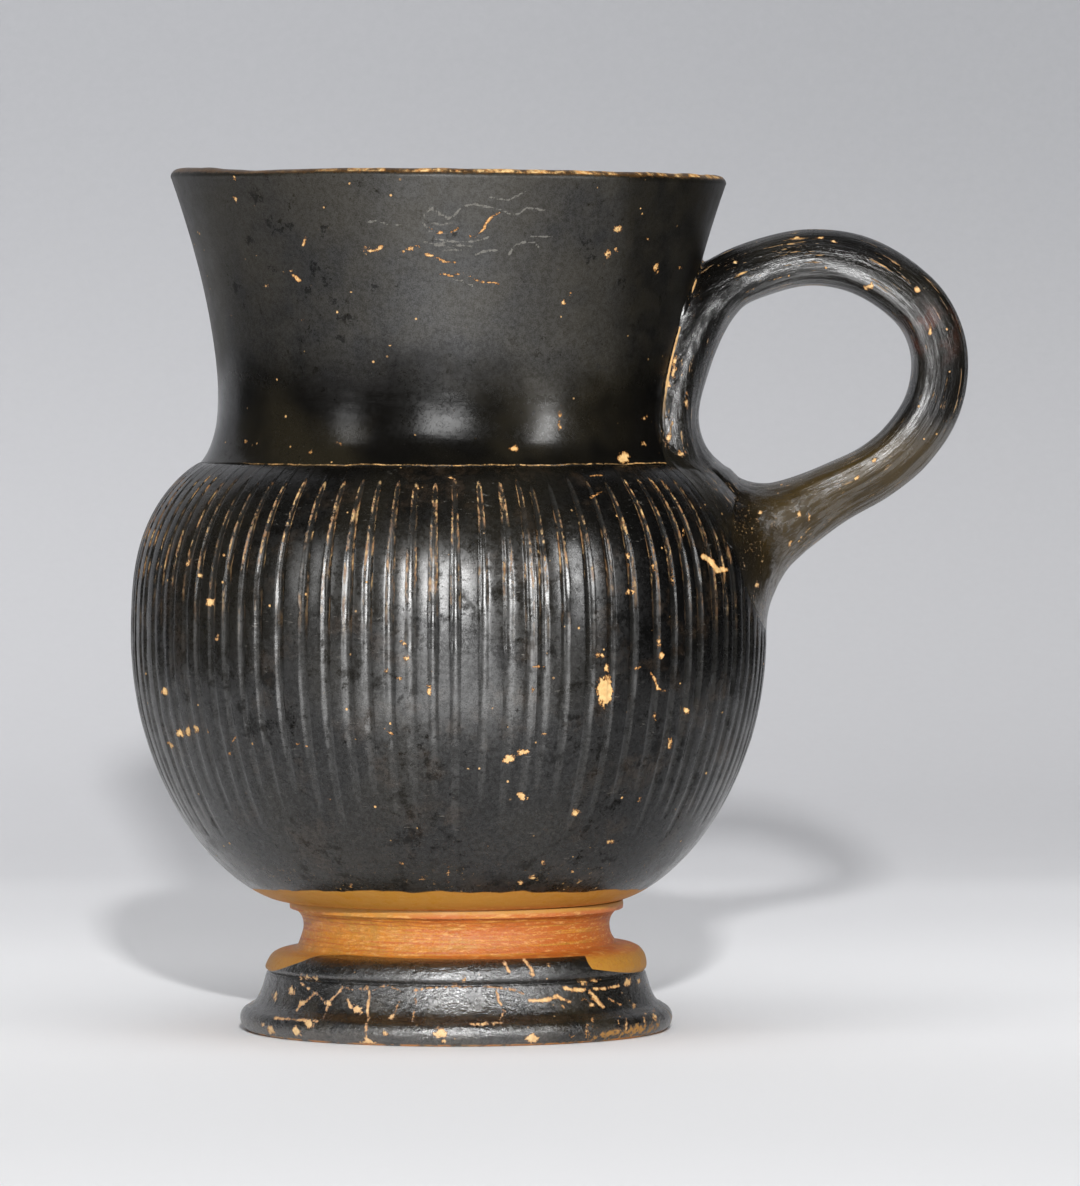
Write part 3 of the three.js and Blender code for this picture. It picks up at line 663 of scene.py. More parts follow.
def bowl_material():
    s = Gloss("bowl_gloss", olive=0.35, smooth=0.19, rough=0.36, sheen=0.60)
    blotch = s.step(s.noise(2.6, 5, 0.75), 0.50, 0.60) * s.step(s.noise(13, 3, 0.6), 0.42, 0.58)
    s.sheen *= s.step(blotch, 0, 1, 1.08, 0.45)
    # painted shade: darker, less shiny gloss towards the handle side
    s.shade_towards_handle(-2, 17, 0.5)
    groove = s.attribute("groove")
    polish_and_painted_sheen = s.step(groove, 0.12, 0.5) * s.step(s.medium, 0.3, 0.6, 0.5, 1.0)
    s.sheen *= s.step(polish_and_painted_sheen, 0, 1, 1, 1.25)
    # painted sheen: the grooves are tinted grey as well as made shinier
    s.colour = s.mix(polish_and_painted_sheen * 0.3, s.colour, GLOSS_WORN_AND_SHEEN)
    brown = s.step(s.noise(6, 4, 0.7), 0.52, 0.66) * s.step(s.fine, 0.35, 0.6, 0.4, 1.0)
    s.colour = s.mix(brown * 0.55, s.colour, GLOSS_BROWN)
    scuffs = s.step(s.noise(0.5, 4, 0.8, stretch=(0.35, 0.35, 1.6)), 0.62, 0.68)
    scuffs = scuffs * s.step(s.noise(7, 2, 0.5), 0.44, 0.6)
    s.wear(scuffs * 0.45, SCRATCH_GREY, -0.1, 0.4)
    ragged = s.step(s.noise(0.8, 5, 0.8, stretch=(1, 1, 0.25)), 0.47, 0.57)
    upper = s.step(s.z, *RUBBED_LEVELS)
    patches = s.step(s.noise(7, 2, 0.5), 0.38, 0.56)
    edge = s.step(groove, 0.08, 0.3) * s.step(groove, 0.9, 0.6)
    clay = s.mix(s.step(s.noise(0.7, 4, 0.7), 0.46, 0.62), RUBBED_BROWN, RUBBED_CREAM)
    s.wear(edge * ragged * upper * patches * 0.95, clay, 0.2)
    s.specks()
    low = s.step(s.z, 23, 18) * s.step(s.noise(5, 2, 0.5), 0.40, 0.52)
    nicks = s.step(s.noise(0.6, 4, 0.75, stretch=(1, 1, 0.5)), 0.645, 0.67)
    s.wear(nicks * low, depth=0.4)
    s.chip(s.attribute("chips"), s.attribute("cracks"))
    level = s.z + (s.y * 0.05 + s.step(s.noise(6, 3, 0.6), 0.2, 0.8, -0.22, 0.22))
    clay = bare_clay(s)
    clay = s.mix(s.step(s.z, *OCHRE_LEVELS, 0.15, 0.85), clay, CLAY_OCHRE)
    bare = s.step(level, *GLOSS_END_LEVELS)
    s.wear(bare, clay, 0.4, 0.55)
    s.sheen *= s.step(bare, 0, 1, 1, 0.6)
    return s.done()


SEAM_LINE_Z = NECK_JOINT_Z + 0.16  # the hairline of bare clay under the neck


def neck_material():
    s = Gloss("neck_gloss", olive=0.8, seed=3, smooth=0.40, rough=0.54, sheen=0.45)
    upper = s.step(s.z + s.broad * 12, 80, 92)
    s.sheen *= s.step(upper, 0, 1, 0.60, 1.10)
    s.roughness *= s.step(upper, 0, 1, 0.44, 1.0)
    off_middle = s.math("ABSOLUTE", s.x - AXIS_X)
    duller = s.step(off_middle + s.medium * 6, 7, 14, 0.5, 1.0)
    s.sheen *= s.math("MAXIMUM", duller, upper)
    # painted shade: darker, less shiny gloss towards the handle side
    s.shade_towards_handle(10, 16, 0.3)
    # painted more olive towards the top: partly the gloss's own tone, partly painted reflection of the pale
    # floor
    s.colour = s.mix(upper * s.step(s.medium, 0.3, 0.7) * 0.5, s.colour, GLOSS_OLIVE)
    s.specks(0.4)
    dark = s.step(s.attribute("dark") + s.ragged * 1.3, 0.10, -0.25, 0, 0.65)
    s.scratch(s.attribute("scratches"))
    s.chip(s.attribute("chips"), s.attribute("cracks"))
    s.darken(dark)
    wobble = s.step(s.noise(4, 3, 0.6, stretch=(1, 1, 0)), 0.2, 0.8, -0.13, 0.13)
    off = s.math("ABSOLUTE", s.z + wobble - SEAM_LINE_Z)
    broken = s.step(s.noise(3, 5, 0.8, stretch=(1, 1, 0)), 0.47, 0.56, 0.25, 1)
    thin = s.step(off, 0.10, 0.03) * s.step(s.noise(0.6, 4, 0.7), 0.36, 0.52)
    s.wear(thin * broken * s.step(s.x, -38, -32) * 0.9, depth=0.6)
    lip = s.attribute("lip")
    s.wear(s.step(lip + s.ragged * 0.25, 0.50, 0.62), LIP_BROWN, 0.2, 0.4)
    bright = s.step(s.noise(2.6, 5, 0.75, stretch=(1, 1, 0.5)), 0.44, 0.60)
    along = s.step(s.x, -34, -18, 0.1, 1.0)
    rubbed = s.step(lip, 0.60, 0.74) * bright * along
    s.wear(rubbed, s.mix(s.step(s.fine, 0.35, 0.65), CHIP_ORANGE, CHIP_CREAM), 0.3)
    return s.done()


def foot_radius(z):
    """The radius of the foot's outside."""
    outline = np.array(sorted(foot_outline(), key=lambda point: point[1]))
    return np.interp(z, outline[:, 1], outline[:, 0])


# Dark lines that the tool left round the stem: level and strength
STEM_LINES = ((14.35, 0.8), (13.85, 0.7), (12.6, 0.3), (11.3, 0.35), (10.7, 0.5))


def foot_material():
    s = Gloss("foot_gloss", olive=0.9, seed=5, smooth=0.17, rough=0.32, sheen=2.0)
    # painted shade: darker, less shiny gloss towards the handle side
    s.shade_towards_handle(-4, 10, 0.35)
    worn = s.step(s.noise(3.5, 5, 0.75), 0.42, 0.60) * s.step(s.z, 6.5, 4.5, 0.3, 1)
    s.colour = s.mix(worn * 0.7, s.colour, GLOSS_EARTHY)
    s.heights += s.noise(0.75, 4, 0.65, stretch=(1, 1, 1.6)) * 2.8
    s.specks(0.3)
    cracks = s.step(s.cells(5.2, "DISTANCE_TO_EDGE") + s.ragged * 0.03, 0.045, 0.015)
    behind = s.step(s.y, -6, 2) * s.step(s.noise(5, 3, 0.6), 0.50, 0.58)
    s.wear(cracks * behind, depth=0.6)
    smudge = s.attribute("smudges") + s.ragged * 1.6
    s.wear(s.step(smudge, 0.1, -0.3, 0, 0.8), CLAY_OCHRE, 0.3)
    s.chip(s.attribute("chips"), s.attribute("cracks"))
    clay = bare_clay(s)
    clay = s.mix(s.step(s.z, 10.6, 9.4), clay, CLAY_OCHRE)
    wavy = s.z + s.step(s.noise(5, 3, 0.6), 0.2, 0.8, -0.2, 0.2)
    for level, strength in STEM_LINES:
        line = s.step(s.math("ABSOLUTE", wavy - level), 0.13, 0.04, 0, strength)
        clay = s.mix(line * s.step(s.fine, 0.3, 0.6, 0.4, 1), clay, CLAY_DARK)
    clay = s.mix(s.step(s.noise(0.4, 4, 0.8), 0.50, 0.64, 0, 0.45), clay, CLAY_DARK)
    under = s.step(s.z, 0.35, 0.15)
    worn = s.mix(s.step(s.medium, 0.4, 0.6), CLAY_ORANGE, CLAY_OCHRE)
    s.wear(under * s.step(s.noise(2.5, 4, 0.7), 0.40, 0.52), worn, 0.3)
    bare = s.step(s.attribute("reserve"), -0.05, 0.05)
    s.wear(bare, clay, 0.4, 0.5)
    s.sheen *= s.step(bare, 0, 1, 1, 0.28)
    return s.done()


def handle_material():
    s = Gloss("handle_gloss", olive=0.5, seed=7, smooth=0.16, rough=0.30)
    along_ring_place = s.node("CombineXYZ", {0: s.attribute("out"), 1: s.y, 2: s.attribute("along") * 0.07})
    streaks = s.noise(0.7, 5, 0.7, place=along_ring_place)
    ridged = s.attribute("ridged")
    s.sheen = s.step(streaks, 0.42, 0.58, 1.30, 0.35)
    s.heights = streaks * ridged * 2.2 + s.fine * 0.16
    s.colour = s.mix(s.step(streaks, 0.5, 0.72, 0, 0.5), s.colour, GLOSS_DEEP_AND_SHADE)
    thin = s.attribute("thin") * s.step(s.medium, 0.25, 0.6, 0.55, 1.0)
    s.colour = s.mix(thin, s.colour, GLOSS_THIN)
    s.sheen *= s.step(thin, 0, 1, 1, 0.75)
    red = s.attribute("red") * s.step(s.medium, 0.40, 0.6) * 0.5
    s.colour = s.mix(red, s.colour, GLOSS_RED)
    flecks = s.step(s.noise(0.45, 4, 0.8, place=along_ring_place), 0.61, 0.66)
    worn = flecks * s.step(s.noise(6, 2, 0.5), 0.46, 0.60)
    s.wear(worn, depth=0.4)
    s.specks(0.7)
    s.chip((s.ovals(HANDLE_MARKS, 3) - 1.0) * 0.25)
    return s.done(0.08)


def luting_material():
    s = Gloss("luting_clay", olive=0.8)
    pale = s.step(s.noise(1.8, 4, 0.7, stretch=(1, 1, 0.6)), 0.28, 0.42)
    s.wear(pale * s.step(s.z, 74, 80) * 0.9, s.mix(s.fine, CHIP_CREAM, CHIP_ORANGE), 0.2)
    return s.done()


def reserved_material():
    s = Gloss("reserved_clay")
    clay = bare_clay(s)
    s.wear(s.step(s.z, 0, -1, 1, 1), s.mix(s.step(s.z, 15.1, 15.7), clay, CLAY_OCHRE), 0.3, 0.55)
    return s.done()


# Handle

# Stations round the ring: shares of the way out from the wall and up, thickness and spread
HANDLE_LOOP = np.array([
    (0.235, 0.957, 1.0, 0.04), (0.41, 1.0, 1.0, 0), (0.608, 0.988, 1.0, 0), (0.786, 0.92, 1.0, 0),
    (0.938, 0.8, 1.0, 0), (1.0, 0.63, 1.0, 0), (0.97, 0.45, 1.0, 0), (0.866, 0.308, 1.0, 0),
    (0.713, 0.212, 1.0, 0), (0.515, 0.144, 1.04, 0.03), (0.278, 0.065, 1.24, 0.18),
    (0.03, -0.005, 1.62, 0.5), (-0.2, -0.065, 1.75, 0.85), (-0.23, 0.14, 1.4, 1.0),
    (-0.05, 0.36, 1.0, 0.93), (-0.021, 0.541, 1.02, 0.72), (0.02, 0.76, 1.13, 0.42),
    (0.106, 0.893, 1.03, 0.16),
])
RING_STATIONS = 432
SUNK_STATION = 300  # lies deep in the wall, so the streaks along the ring start and end there
INNER_SIDE_LIMIT = 0.75  # the section's inner half is at most this share of the bend it lies in
SIDE_LEAN = 0.3  # how far the widest part of the section lies inside its middle, as a share of its half
SADDLE_PROUD = 1.5  # clay drawn along the wall inside the ring, between these levels
SADDLE_WIDTH = 16
SADDLE_BOTTOM = (61, 66)
SADDLE_TOP = (91, 86)
CREASE_REACH = 0.8  # the hollow between ring and wall: a crease above these levels, a soft fillet below
FILLET_REACH = 4.5
FILLET_LEVELS = (73, 63)


def ring_table():
    """The ring's centre line in equal steps, and the step.

    Its columns are place, direction, half thickness outside and inside, half width, and lean.
    """
    far = HANDLE_REACH - HANDLE_THICKNESS / 2
    top = LIP_Z - HANDLE_TOP_DROP - HANDLE_THICKNESS / 2
    root = NECK_JOINT_Z - HANDLE_ROOT_DROP
    height = root + (top - root) * HANDLE_LOOP[:, 1]
    wall = vessel_outer(height)
    knots = np.column_stack([wall + (far - wall) * HANDLE_LOOP[:, 0], height, HANDLE_LOOP[:, 2:]])
    wrapped = np.concatenate([knots[-1:], knots, knots[:2]])
    line = spline(wrapped, np.linspace(0, len(knots), RING_STATIONS, endpoint=False))
    line = smoothed(line, 50, closed=True)
    looped = np.concatenate([line, line[:1]])
    length = np.concatenate([[0], np.cumsum(np.linalg.norm(np.diff(looped[:, :2], axis=0), axis=1))])
    even = np.linspace(0, length[-1], RING_STATIONS, endpoint=False)
    line = np.stack([np.interp(even, length, looped[:, k]) for k in range(4)], -1)
    ahead, behind = np.roll(line[:, :2], -1, 0), np.roll(line[:, :2], 1, 0)
    direction = (ahead - behind) / np.linalg.norm(ahead - behind, axis=1)[:, None]
    turn = np.linalg.norm(np.roll(direction, -1, 0) - np.roll(direction, 1, 0), axis=1)
    bend = 2 * length[-1] / RING_STATIONS / np.maximum(turn, 1e-6)
    half = HANDLE_THICKNESS / 2 * line[:, 2]
    inner = smoothed(np.minimum(half, INNER_SIDE_LIMIT * bend), 20, closed=True)
    wide = (HANDLE_WIDTH + (ROOT_WIDTH - HANDLE_WIDTH) * line[:, 3]) / 2
    lean = SIDE_LEAN * np.clip(1 - line[:, 3] * 1.5, 0, 1)
    table = np.column_stack([line[:, :2], direction, half, inner, wide, lean])
    return table, length[-1] / RING_STATIONS


RING, RING_STEP = ring_table()
RING_LOOPED = np.concatenate([RING, RING[:1]])


def along_ring(x, z):
    """How far along the ring's line each place lies, in stations, and how far outside the line it is."""
    shape = np.broadcast(x, z).shape
    x, z = np.broadcast_to(x, shape).ravel(), np.broadcast_to(z, shape).ravel()
    nearest = np.empty(len(x), int)
    block = 20000
    for start in range(0, len(x), block):
        part = slice(start, start + block)
        nearest[part] = ((x[part, None] - RING[:, 0]) ** 2 + (z[part, None] - RING[:, 1]) ** 2).argmin(1)
    found = RING[nearest]
    ahead = ((x - found[:, 0]) * found[:, 2] + (z - found[:, 1]) * found[:, 3]) / RING_STEP
    station = (nearest + np.clip(ahead, -0.5, 0.5)) % RING_STATIONS
    whole = station.astype(int)
    share = (station - whole)[:, None]
    found = RING_LOOPED[whole] * (1 - share) + RING_LOOPED[whole + 1] * share
    out = (z - found[:, 1]) * found[:, 2] - (x - found[:, 0]) * found[:, 3]
    return [v.reshape(shape) for v in (station, out, *found[:, 4:].T)]


def ring_distance(y, out, half, inner, wide, lean):
    """How far each place lies outside the ring's skin."""
    half = np.where(out > 0, half, inner)
    across = y / wide
    lifted = out / half + lean * across**2
    size = np.maximum(np.hypot(lifted, across), 1e-4)
    slope = np.hypot(lifted / half, across * (1 + 2 * lean * lifted) / wide) / size
    return (size - 1) / np.maximum(slope, 1e-3)


def smooth_least(a, b, reach):
    return np.minimum(a, b) - np.clip(1 - np.abs(a - b) / reach, 0, 1) ** 2 * reach / 4


def crease_reach(z):
    """How wide the hollow between the ring and the wall is."""
    return CREASE_REACH + (FILLET_REACH - CREASE_REACH) * soft_step(z, *FILLET_LEVELS)


def wall_distance(x, y, z):
    """How far each place lies outside the wall, with the clay drawn along it inside the ring."""
    radius = np.interp(z, WALL_LEVELS, WALL_RADII)
    slope = np.interp(z, WALL_LEVELS, WALL_SLOPES)
    saddle = SADDLE_PROUD * np.sqrt(np.clip(1 - (2 * y / SADDLE_WIDTH) ** 2, 0, 1))
    saddle = saddle * soft_step(z, *SADDLE_BOTTOM) * soft_step(z, *SADDLE_TOP)
    return (np.hypot(x, y) - radius) * slope - saddle * (x > 0)


def wall_table():
    """Even levels, the wall's radius there with the corner at the neck filled, and its slope's cosine."""
    levels = np.linspace(FOOT_JOINT_Z, LIP_Z + 2, 400)
    radii = vessel_outer(levels)
    radii = np.maximum(radii, smoothed(radii, 60))
    return levels, radii, 1 / np.hypot(1, np.gradient(radii, levels))


WALL_LEVELS, WALL_RADII, WALL_SLOPES = wall_table()


def handle_field(x, y, z, placed=None):
    """Below 0 inside the handle: the ring, its fillet on the wall, and its root in the wall."""
    station, out, *sizes = placed or along_ring(x, z)
    ring = ring_distance(y, out, *sizes) + SKIN_GAP
    reach = crease_reach(z)
    wall = wall_distance(x, y, z)
    sunk = soft_step(ring - reach, 0, 1)
    together = smooth_least(ring, wall + sunk, reach)
    return np.maximum(np.maximum(together, -(wall + ROOT_DEPTH)), ring - reach - 1.2)


def net_surface(values, low, pitch):
    """Points and quads of the surface where a grid's values change sign: one point in each cell it cuts.

    Each edge of the grid with a change of sign gives a quad between the four cells round it.
    """
    cells = np.array(values.shape) - 1
    found = []
    for axis in range(3):
        first, second = [slice(None)] * 3, [slice(None)] * 3
        first[axis], second[axis] = slice(0, -1), slice(1, None)
        a, b = values[tuple(first)], values[tuple(second)]
        edges = np.argwhere((a < 0) != (b < 0))
        low_value, high_value = a[tuple(edges.T)], b[tuple(edges.T)]
        place = edges.astype(float)
        place[:, axis] += low_value / (low_value - high_value)
        u, v = np.eye(3, dtype=int)[(axis + 1) % 3], np.eye(3, dtype=int)[(axis + 2) % 3]
        around = np.stack([edges - u - v, edges - v, edges, edges - u], 1)
        quads = np.ravel_multi_index(tuple(np.moveaxis(around, -1, 0)), cells)
        outside = low_value >= 0
        quads[outside] = quads[outside][:, ::-1]
        found.append((place, quads))
    places = np.concatenate([np.repeat(place, 4, 0) for place, quads in found])
    owners = np.concatenate([quads.ravel() for place, quads in found])
    owner = np.unique(owners, return_inverse=True)[1]
    count = np.bincount(owner)[:, None]
    points = np.stack([np.bincount(owner, places[:, k]) for k in range(3)], -1) / count
    return low + points * pitch, owner.reshape(-1, 4)


NET_PITCH = 0.4
NET_LOW = np.array([19.0, -21.0, 44.0])
NET_HIGH = np.array([64.4, 21.0, 99.0])


def handle_surface(x, y, z):
    """The handle's field with the unevenness that the hand left."""
    placed = along_ring(x, z)
    station, out = placed[:2]
    places = np.stack([x, y, z], -1)
    lines = np.stack([out, y, (station - SUNK_STATION) % RING_STATIONS * RING_STEP * 0.08], -1)
    hand = 0.04 + 0.04 * soft_noise(places, 9, 31) + 0.05 + 0.05 * soft_noise(lines, 1.6, 33)
    return handle_field(x, y, z, placed) + hand * soft_step(wall_distance(x, y, z), -0.2, 1.5)


def handle_mesh():
    """The handle's skin, its points moved onto the uneven surface."""
    steps = np.ceil((NET_HIGH - NET_LOW) / NET_PITCH).astype(int)
    x, y, z = (low + NET_PITCH * np.arange(n + 1) for low, n in zip(NET_LOW, steps))
    placed = along_ring(x[:, None, None], z[None, None, :])
    placed = [np.repeat(v, len(y), 1) for v in placed]
    values = handle_field(x[:, None, None], y[None, :, None], z[None, None, :], placed)
    points, faces = net_surface(values, NET_LOW, NET_PITCH)
    small = 0.03
    for _ in range(3):
        value = handle_surface(*points.T)
        nearby = [handle_surface(*(points + small * unit).T) for unit in np.eye(3)]
        slope = np.stack([(other - value) / small for other in nearby], -1)
        step = slope * (value / np.maximum((slope**2).sum(-1), 0.2))[:, None]
        points = points - np.clip(step, -0.3, 0.3)
    return points, faces


def handle_piece():
    points, faces = handle_mesh()
    x, y, z = points.T
    station, out, *sizes = along_ring(x, z)
    attributes = {
        "out": out,
        "along": (station - SUNK_STATION) % RING_STATIONS * RING_STEP,
        "ridged": soft_step(ring_distance(y, out, *sizes), 0.7, 0.1),
        "thin": soft_step(x, 34, 42) * soft_step(z, 76, 70),
        "red": soft_step(np.hypot(x - 58.5, z - 85), 5, 2),
    }
    flat = points + [AXIS_X, 0, 0]
    make_piece("ring_handle", flat, faces.tolist(), attributes, handle_material(), "handle")


def seen_on_handle(px, py):
    """The place on the handle's near side that shows at a pixel of the photograph."""
    depth = np.linspace(-20, 6, 521)
    scale = 1 + depth / CAMERA_DISTANCE
    x = CAMERA_X + (px - PHOTO_WIDTH_PX / 2) / PIXELS_PER_MM * scale
    z = CAMERA_HEIGHT - (CAMERA_HEIGHT - (BASE_PX - py) / PIXELS_PER_MM) * scale
    hit = int(np.argmax(handle_field(x - AXIS_X, depth, z) < 0))
    return x[hit], depth[hit], z[hit]


HANDLE_CHIPS = [
    (869, 286, 8, 6, -20), (674, 367, 4, 20, 8), (668, 383, 4, 12), (686, 401, 4, 12), (668, 439, 5, 10),
    (682, 453, 8, 5, 15), (874, 461, 7, 3, -35), (799, 515, 3, 8), (809, 517, 3, 6), (760, 513, 5, 4),
    (790, 544, 4, 6), (798, 238, 10, 2), (818, 238, 8, 2), (834, 242, 6, 2, 15), (918, 289, 5, 7),
    (930, 330, 3, 9), (856, 478, 5, 3, -30), (735, 262, 4, 3), (757, 585, 4, 5),
]
HANDLE_MARKS = []
for pixel, half, tilt in (spot_sizes(*mark) for mark in HANDLE_CHIPS):
    HANDLE_MARKS.append((seen_on_handle(*pixel), *half, tilt))


def root_outline():
    """Places on the wall round the handle's root, up the near side and down the far side."""
    found = []
    for z in np.linspace(63.5, 93, 120):
        angle = np.linspace(0, 0.75, 600)
        radius = float(vessel_outer(z))
        x, y = radius * np.cos(angle), -radius * np.sin(angle)
        station, out, *sizes = along_ring(x, np.full_like(x, z))
        inside = ring_distance(y, out, *sizes) < 0.3 * float(crease_reach(z))
        if inside.any():
            last = angle[np.flatnonzero(inside)[-1]]
            found.append((radius * math.cos(last), -radius * math.sin(last), z))
    near = np.array(found)
    return np.concatenate([near, (near * [1, -1, 1])[::-1]])


SEAM_RADIUS = 0.22
SEAM_SIDES = 12


def luting_piece():
    """A low bead of clay on the wall, along the outline of the handle's root."""
    path = smoothed(root_outline(), 12)
    away = path * [1, 1, 0]
    away /= np.linalg.norm(away, axis=1)[:, None]
    path[:, :2] = away[:, :2] * (vessel_outer(path[:, 2]) + 0.05)[:, None]
    tangent = np.gradient(path, axis=0)
    tangent /= np.linalg.norm(tangent, axis=1)[:, None]
    across = np.cross(tangent, away)
    angle = np.linspace(0, 2 * math.pi, SEAM_SIDES, endpoint=False)
    taper = np.clip(np.minimum(np.arange(len(path)), np.arange(len(path))[::-1]) / 12, 0.15, 1)
    size = (SEAM_RADIUS + 0.06 * soft_noise(path, 4, 51)) * taper
    rings = path[:, None] + size[:, None, None] * (
        away[:, None] * np.cos(angle)[None, :, None] + across[:, None] * np.sin(angle)[None, :, None]
    )
    flat = np.concatenate([rings.reshape(-1, 3), path[:1], path[-1:]]) + [AXIS_X, 0, 0]
    faces = grid_faces(len(path), SEAM_SIDES)
    faces += cap_faces(len(path), SEAM_SIDES, len(flat) - 2, len(flat) - 1)
    make_piece("root_seam", flat, faces, {}, luting_look, "handle_luting")


# Bowl

GROOVES_PY = 600  # the row of the photograph where the grooves' middles were read
GROOVES_SEEN = (
    257.5, 278.5, 302.5, 325, 347, 367, 389.5, 410.5, 433, 455.5, 484, 509, 530, 544.5, 566, 591,
    612, 634, 657,
)
MOST_GROOVE_SHARE = 0.38  # of the way to the next groove, taken by half a groove
ACROSS_GROOVE = np.array([-1.25, -1, -0.8, -0.55, -0.28, 0, 0.28, 0.55, 0.8, 1, 1.25])


def groove_angles():
    """Angles of the grooves' middles: those read from the photograph, then the rest round the back."""
    seen = []
    for px in GROOVES_SEEN:
        x, y, z = seen_at(px, GROOVES_PY, bowl_outer, AXIS_X)
        seen.append(math.atan2(y, x - AXIS_X))
    rest = RIB_COUNT - len(seen)
    pitch = (2 * math.pi - (seen[-1] - seen[0])) / (rest + 1)
    rng = np.random.default_rng(41)
    behind = seen[-1] + pitch * (np.arange(1, rest + 1) + rng.uniform(-0.1, 0.1, rest))
    return np.concatenate([seen, behind])


def bowl_piece():
    rng = np.random.default_rng(17)
    middle = groove_angles()
    following = np.append(middle[1:], middle[0] + 2 * math.pi)
    columns_each = len(ACROSS_GROOVE) + 1
    rib = np.repeat(np.arange(RIB_COUNT), columns_each)
    across = np.tile(np.append(ACROSS_GROOVE, 0), RIB_COUNT)
    on_flat = np.tile(np.arange(columns_each) == columns_each - 1, RIB_COUNT)
    top = (NECK_JOINT_Z - GROOVE_TOP_DROP - rng.uniform(-0.3, 0.5, RIB_COUNT))[rib]
    bottom = (NECK_JOINT_Z - GROOVE_TOP_DROP - GROOVE_LENGTH + rng.uniform(-3, 3, RIB_COUNT))[rib]
    deep = (GROOVE_DEPTH * rng.uniform(0.8, 1.2, RIB_COUNT))[rib]
    gap = np.minimum(following - middle, middle - np.append(middle[-1] - 2 * math.pi, middle[:-1]))
    room = MOST_GROOVE_SHARE * gap * BELLY_RADIUS
    width = np.minimum(GROOVE_HALF_WIDTH * rng.uniform(0.88, 1.12, RIB_COUNT), room)[rib]
    outer_z = np.concatenate([
        FOOT_JOINT_Z + (27 - FOOT_JOINT_Z) * np.linspace(0, 1, 44) ** 1.4,
        np.linspace(27, 63, 144)[1:],
        63 + (NECK_JOINT_Z - 63) * (1 - (1 - np.linspace(0, 1, 42)) ** 1.6)[1:],
    ])
    inner_top = NECK_JOINT_Z - BOWL_WALL
    inner_z = np.concatenate([
        inner_top + (BELLY_Z - inner_top) * np.linspace(0, 1, 16) ** 1.5,
        BELLY_Z + (FOOT_JOINT_Z + BOWL_FLOOR - BELLY_Z) * (1 - (1 - np.linspace(0, 1, 24)) ** 1.9)[1:-1],
    ])
    step_radius = BORE_RADIUS + SEAT_STEP_WIDTH
    step_z = NECK_JOINT_Z - SEAT_STEP
    body = np.array(
        [[BOWL_SEAT_RADIUS * s, FOOT_JOINT_Z] for s in (0.3, 0.7)]
        + [[float(bowl_outer(z)), z] for z in outer_z]
        + [[step_radius, NECK_JOINT_Z], [step_radius, step_z], [BORE_RADIUS, step_z]]
        + [[float(bowl_inner(z)), z] for z in inner_z]
    )
    radius, height = body[:, :1], body[:, 1:] + 0 * across[None, :]
    narrowing = 1 - 0.45 * np.clip((height - 56) / 12, 0, 1)
    turn = across[None, :] * width[None, :] * narrowing / BELLY_RADIUS
    angles = np.where(on_flat, (middle + following)[rib] / 2, middle[rib]) + turn
    outside = np.zeros(len(body), bool)
    outside[2 : 2 + len(outer_z)] = True
    points = around_axis(radius, angles, height)
    rounding = np.clip(1 - (top[None, :] - height) / 1.3, 0, 2) ** 2
    hollow = np.clip(1 - across[None, :] ** 2 - rounding, 0, 1) * ~on_flat * outside[:, None]
    fade = np.clip((height - bottom[None, :]) / GROOVE_FADE, 0, 1) ** 0.6
    station, out, *sizes = along_ring(points[..., 0], points[..., 2])
    near_root = soft_step(ring_distance(points[..., 1], out, *sizes) - crease_reach(height), -1, 2.5)
    near_root = np.where(points[..., 0] > 0, near_root, 1)
    depth = hollow * fade * near_root * (1 + 0.2 * soft_noise(points, 5, 9))
    hand = 0.04 + 0.03 * soft_noise(points, 30, 3) + 0.012 * soft_noise(points, 5, 4)
    crown = 0.05 * ~on_flat * fade * (np.abs(across) > 0.9)[None, :]
    hand = np.where(outside[:, None] & (height > FOOT_JOINT_Z + 0.5), hand + crown, 0.02)
    radius = radius - deep[None, :] * depth - hand
    points = around_axis(radius, angles, height).reshape(-1, 3)
    points = np.concatenate([points, [[0, 0, FOOT_JOINT_Z], [0, 0, FOOT_JOINT_Z + BOWL_FLOOR]]])
    columns = len(across)
    faces = grid_faces(len(body), columns) + cap_faces(len(body), columns, len(points) - 2, len(points) - 1)
    flat = points + [AXIS_X, 0, 0]
    attributes = {
        "groove": np.append(np.clip(depth, 0, 1).ravel(), [0, 0]),
        "chips": mark_level(flat, BOWL_CHIPS, bowl_outer),
        "cracks": mark_level(flat, BOWL_STROKES, bowl_outer),
    }
    make_piece("ribbed_bowl", flat, faces, attributes, bowl_material(), "bowl")


# Neck

LIP_WEAR_ANGLE = math.radians(-132)  # where the rim is worn lowest
LIP_WEAR_WIDTH = 0.24
LIP_WEAR_DEPTH = 0.38


NECK_MARKS = {
    "chips": NECK_CHIPS,
    "cracks": NECK_STROKES,
    "scratches": NECK_SCRATCHES,
    "dark": NECK_DARK_SPOTS,
}


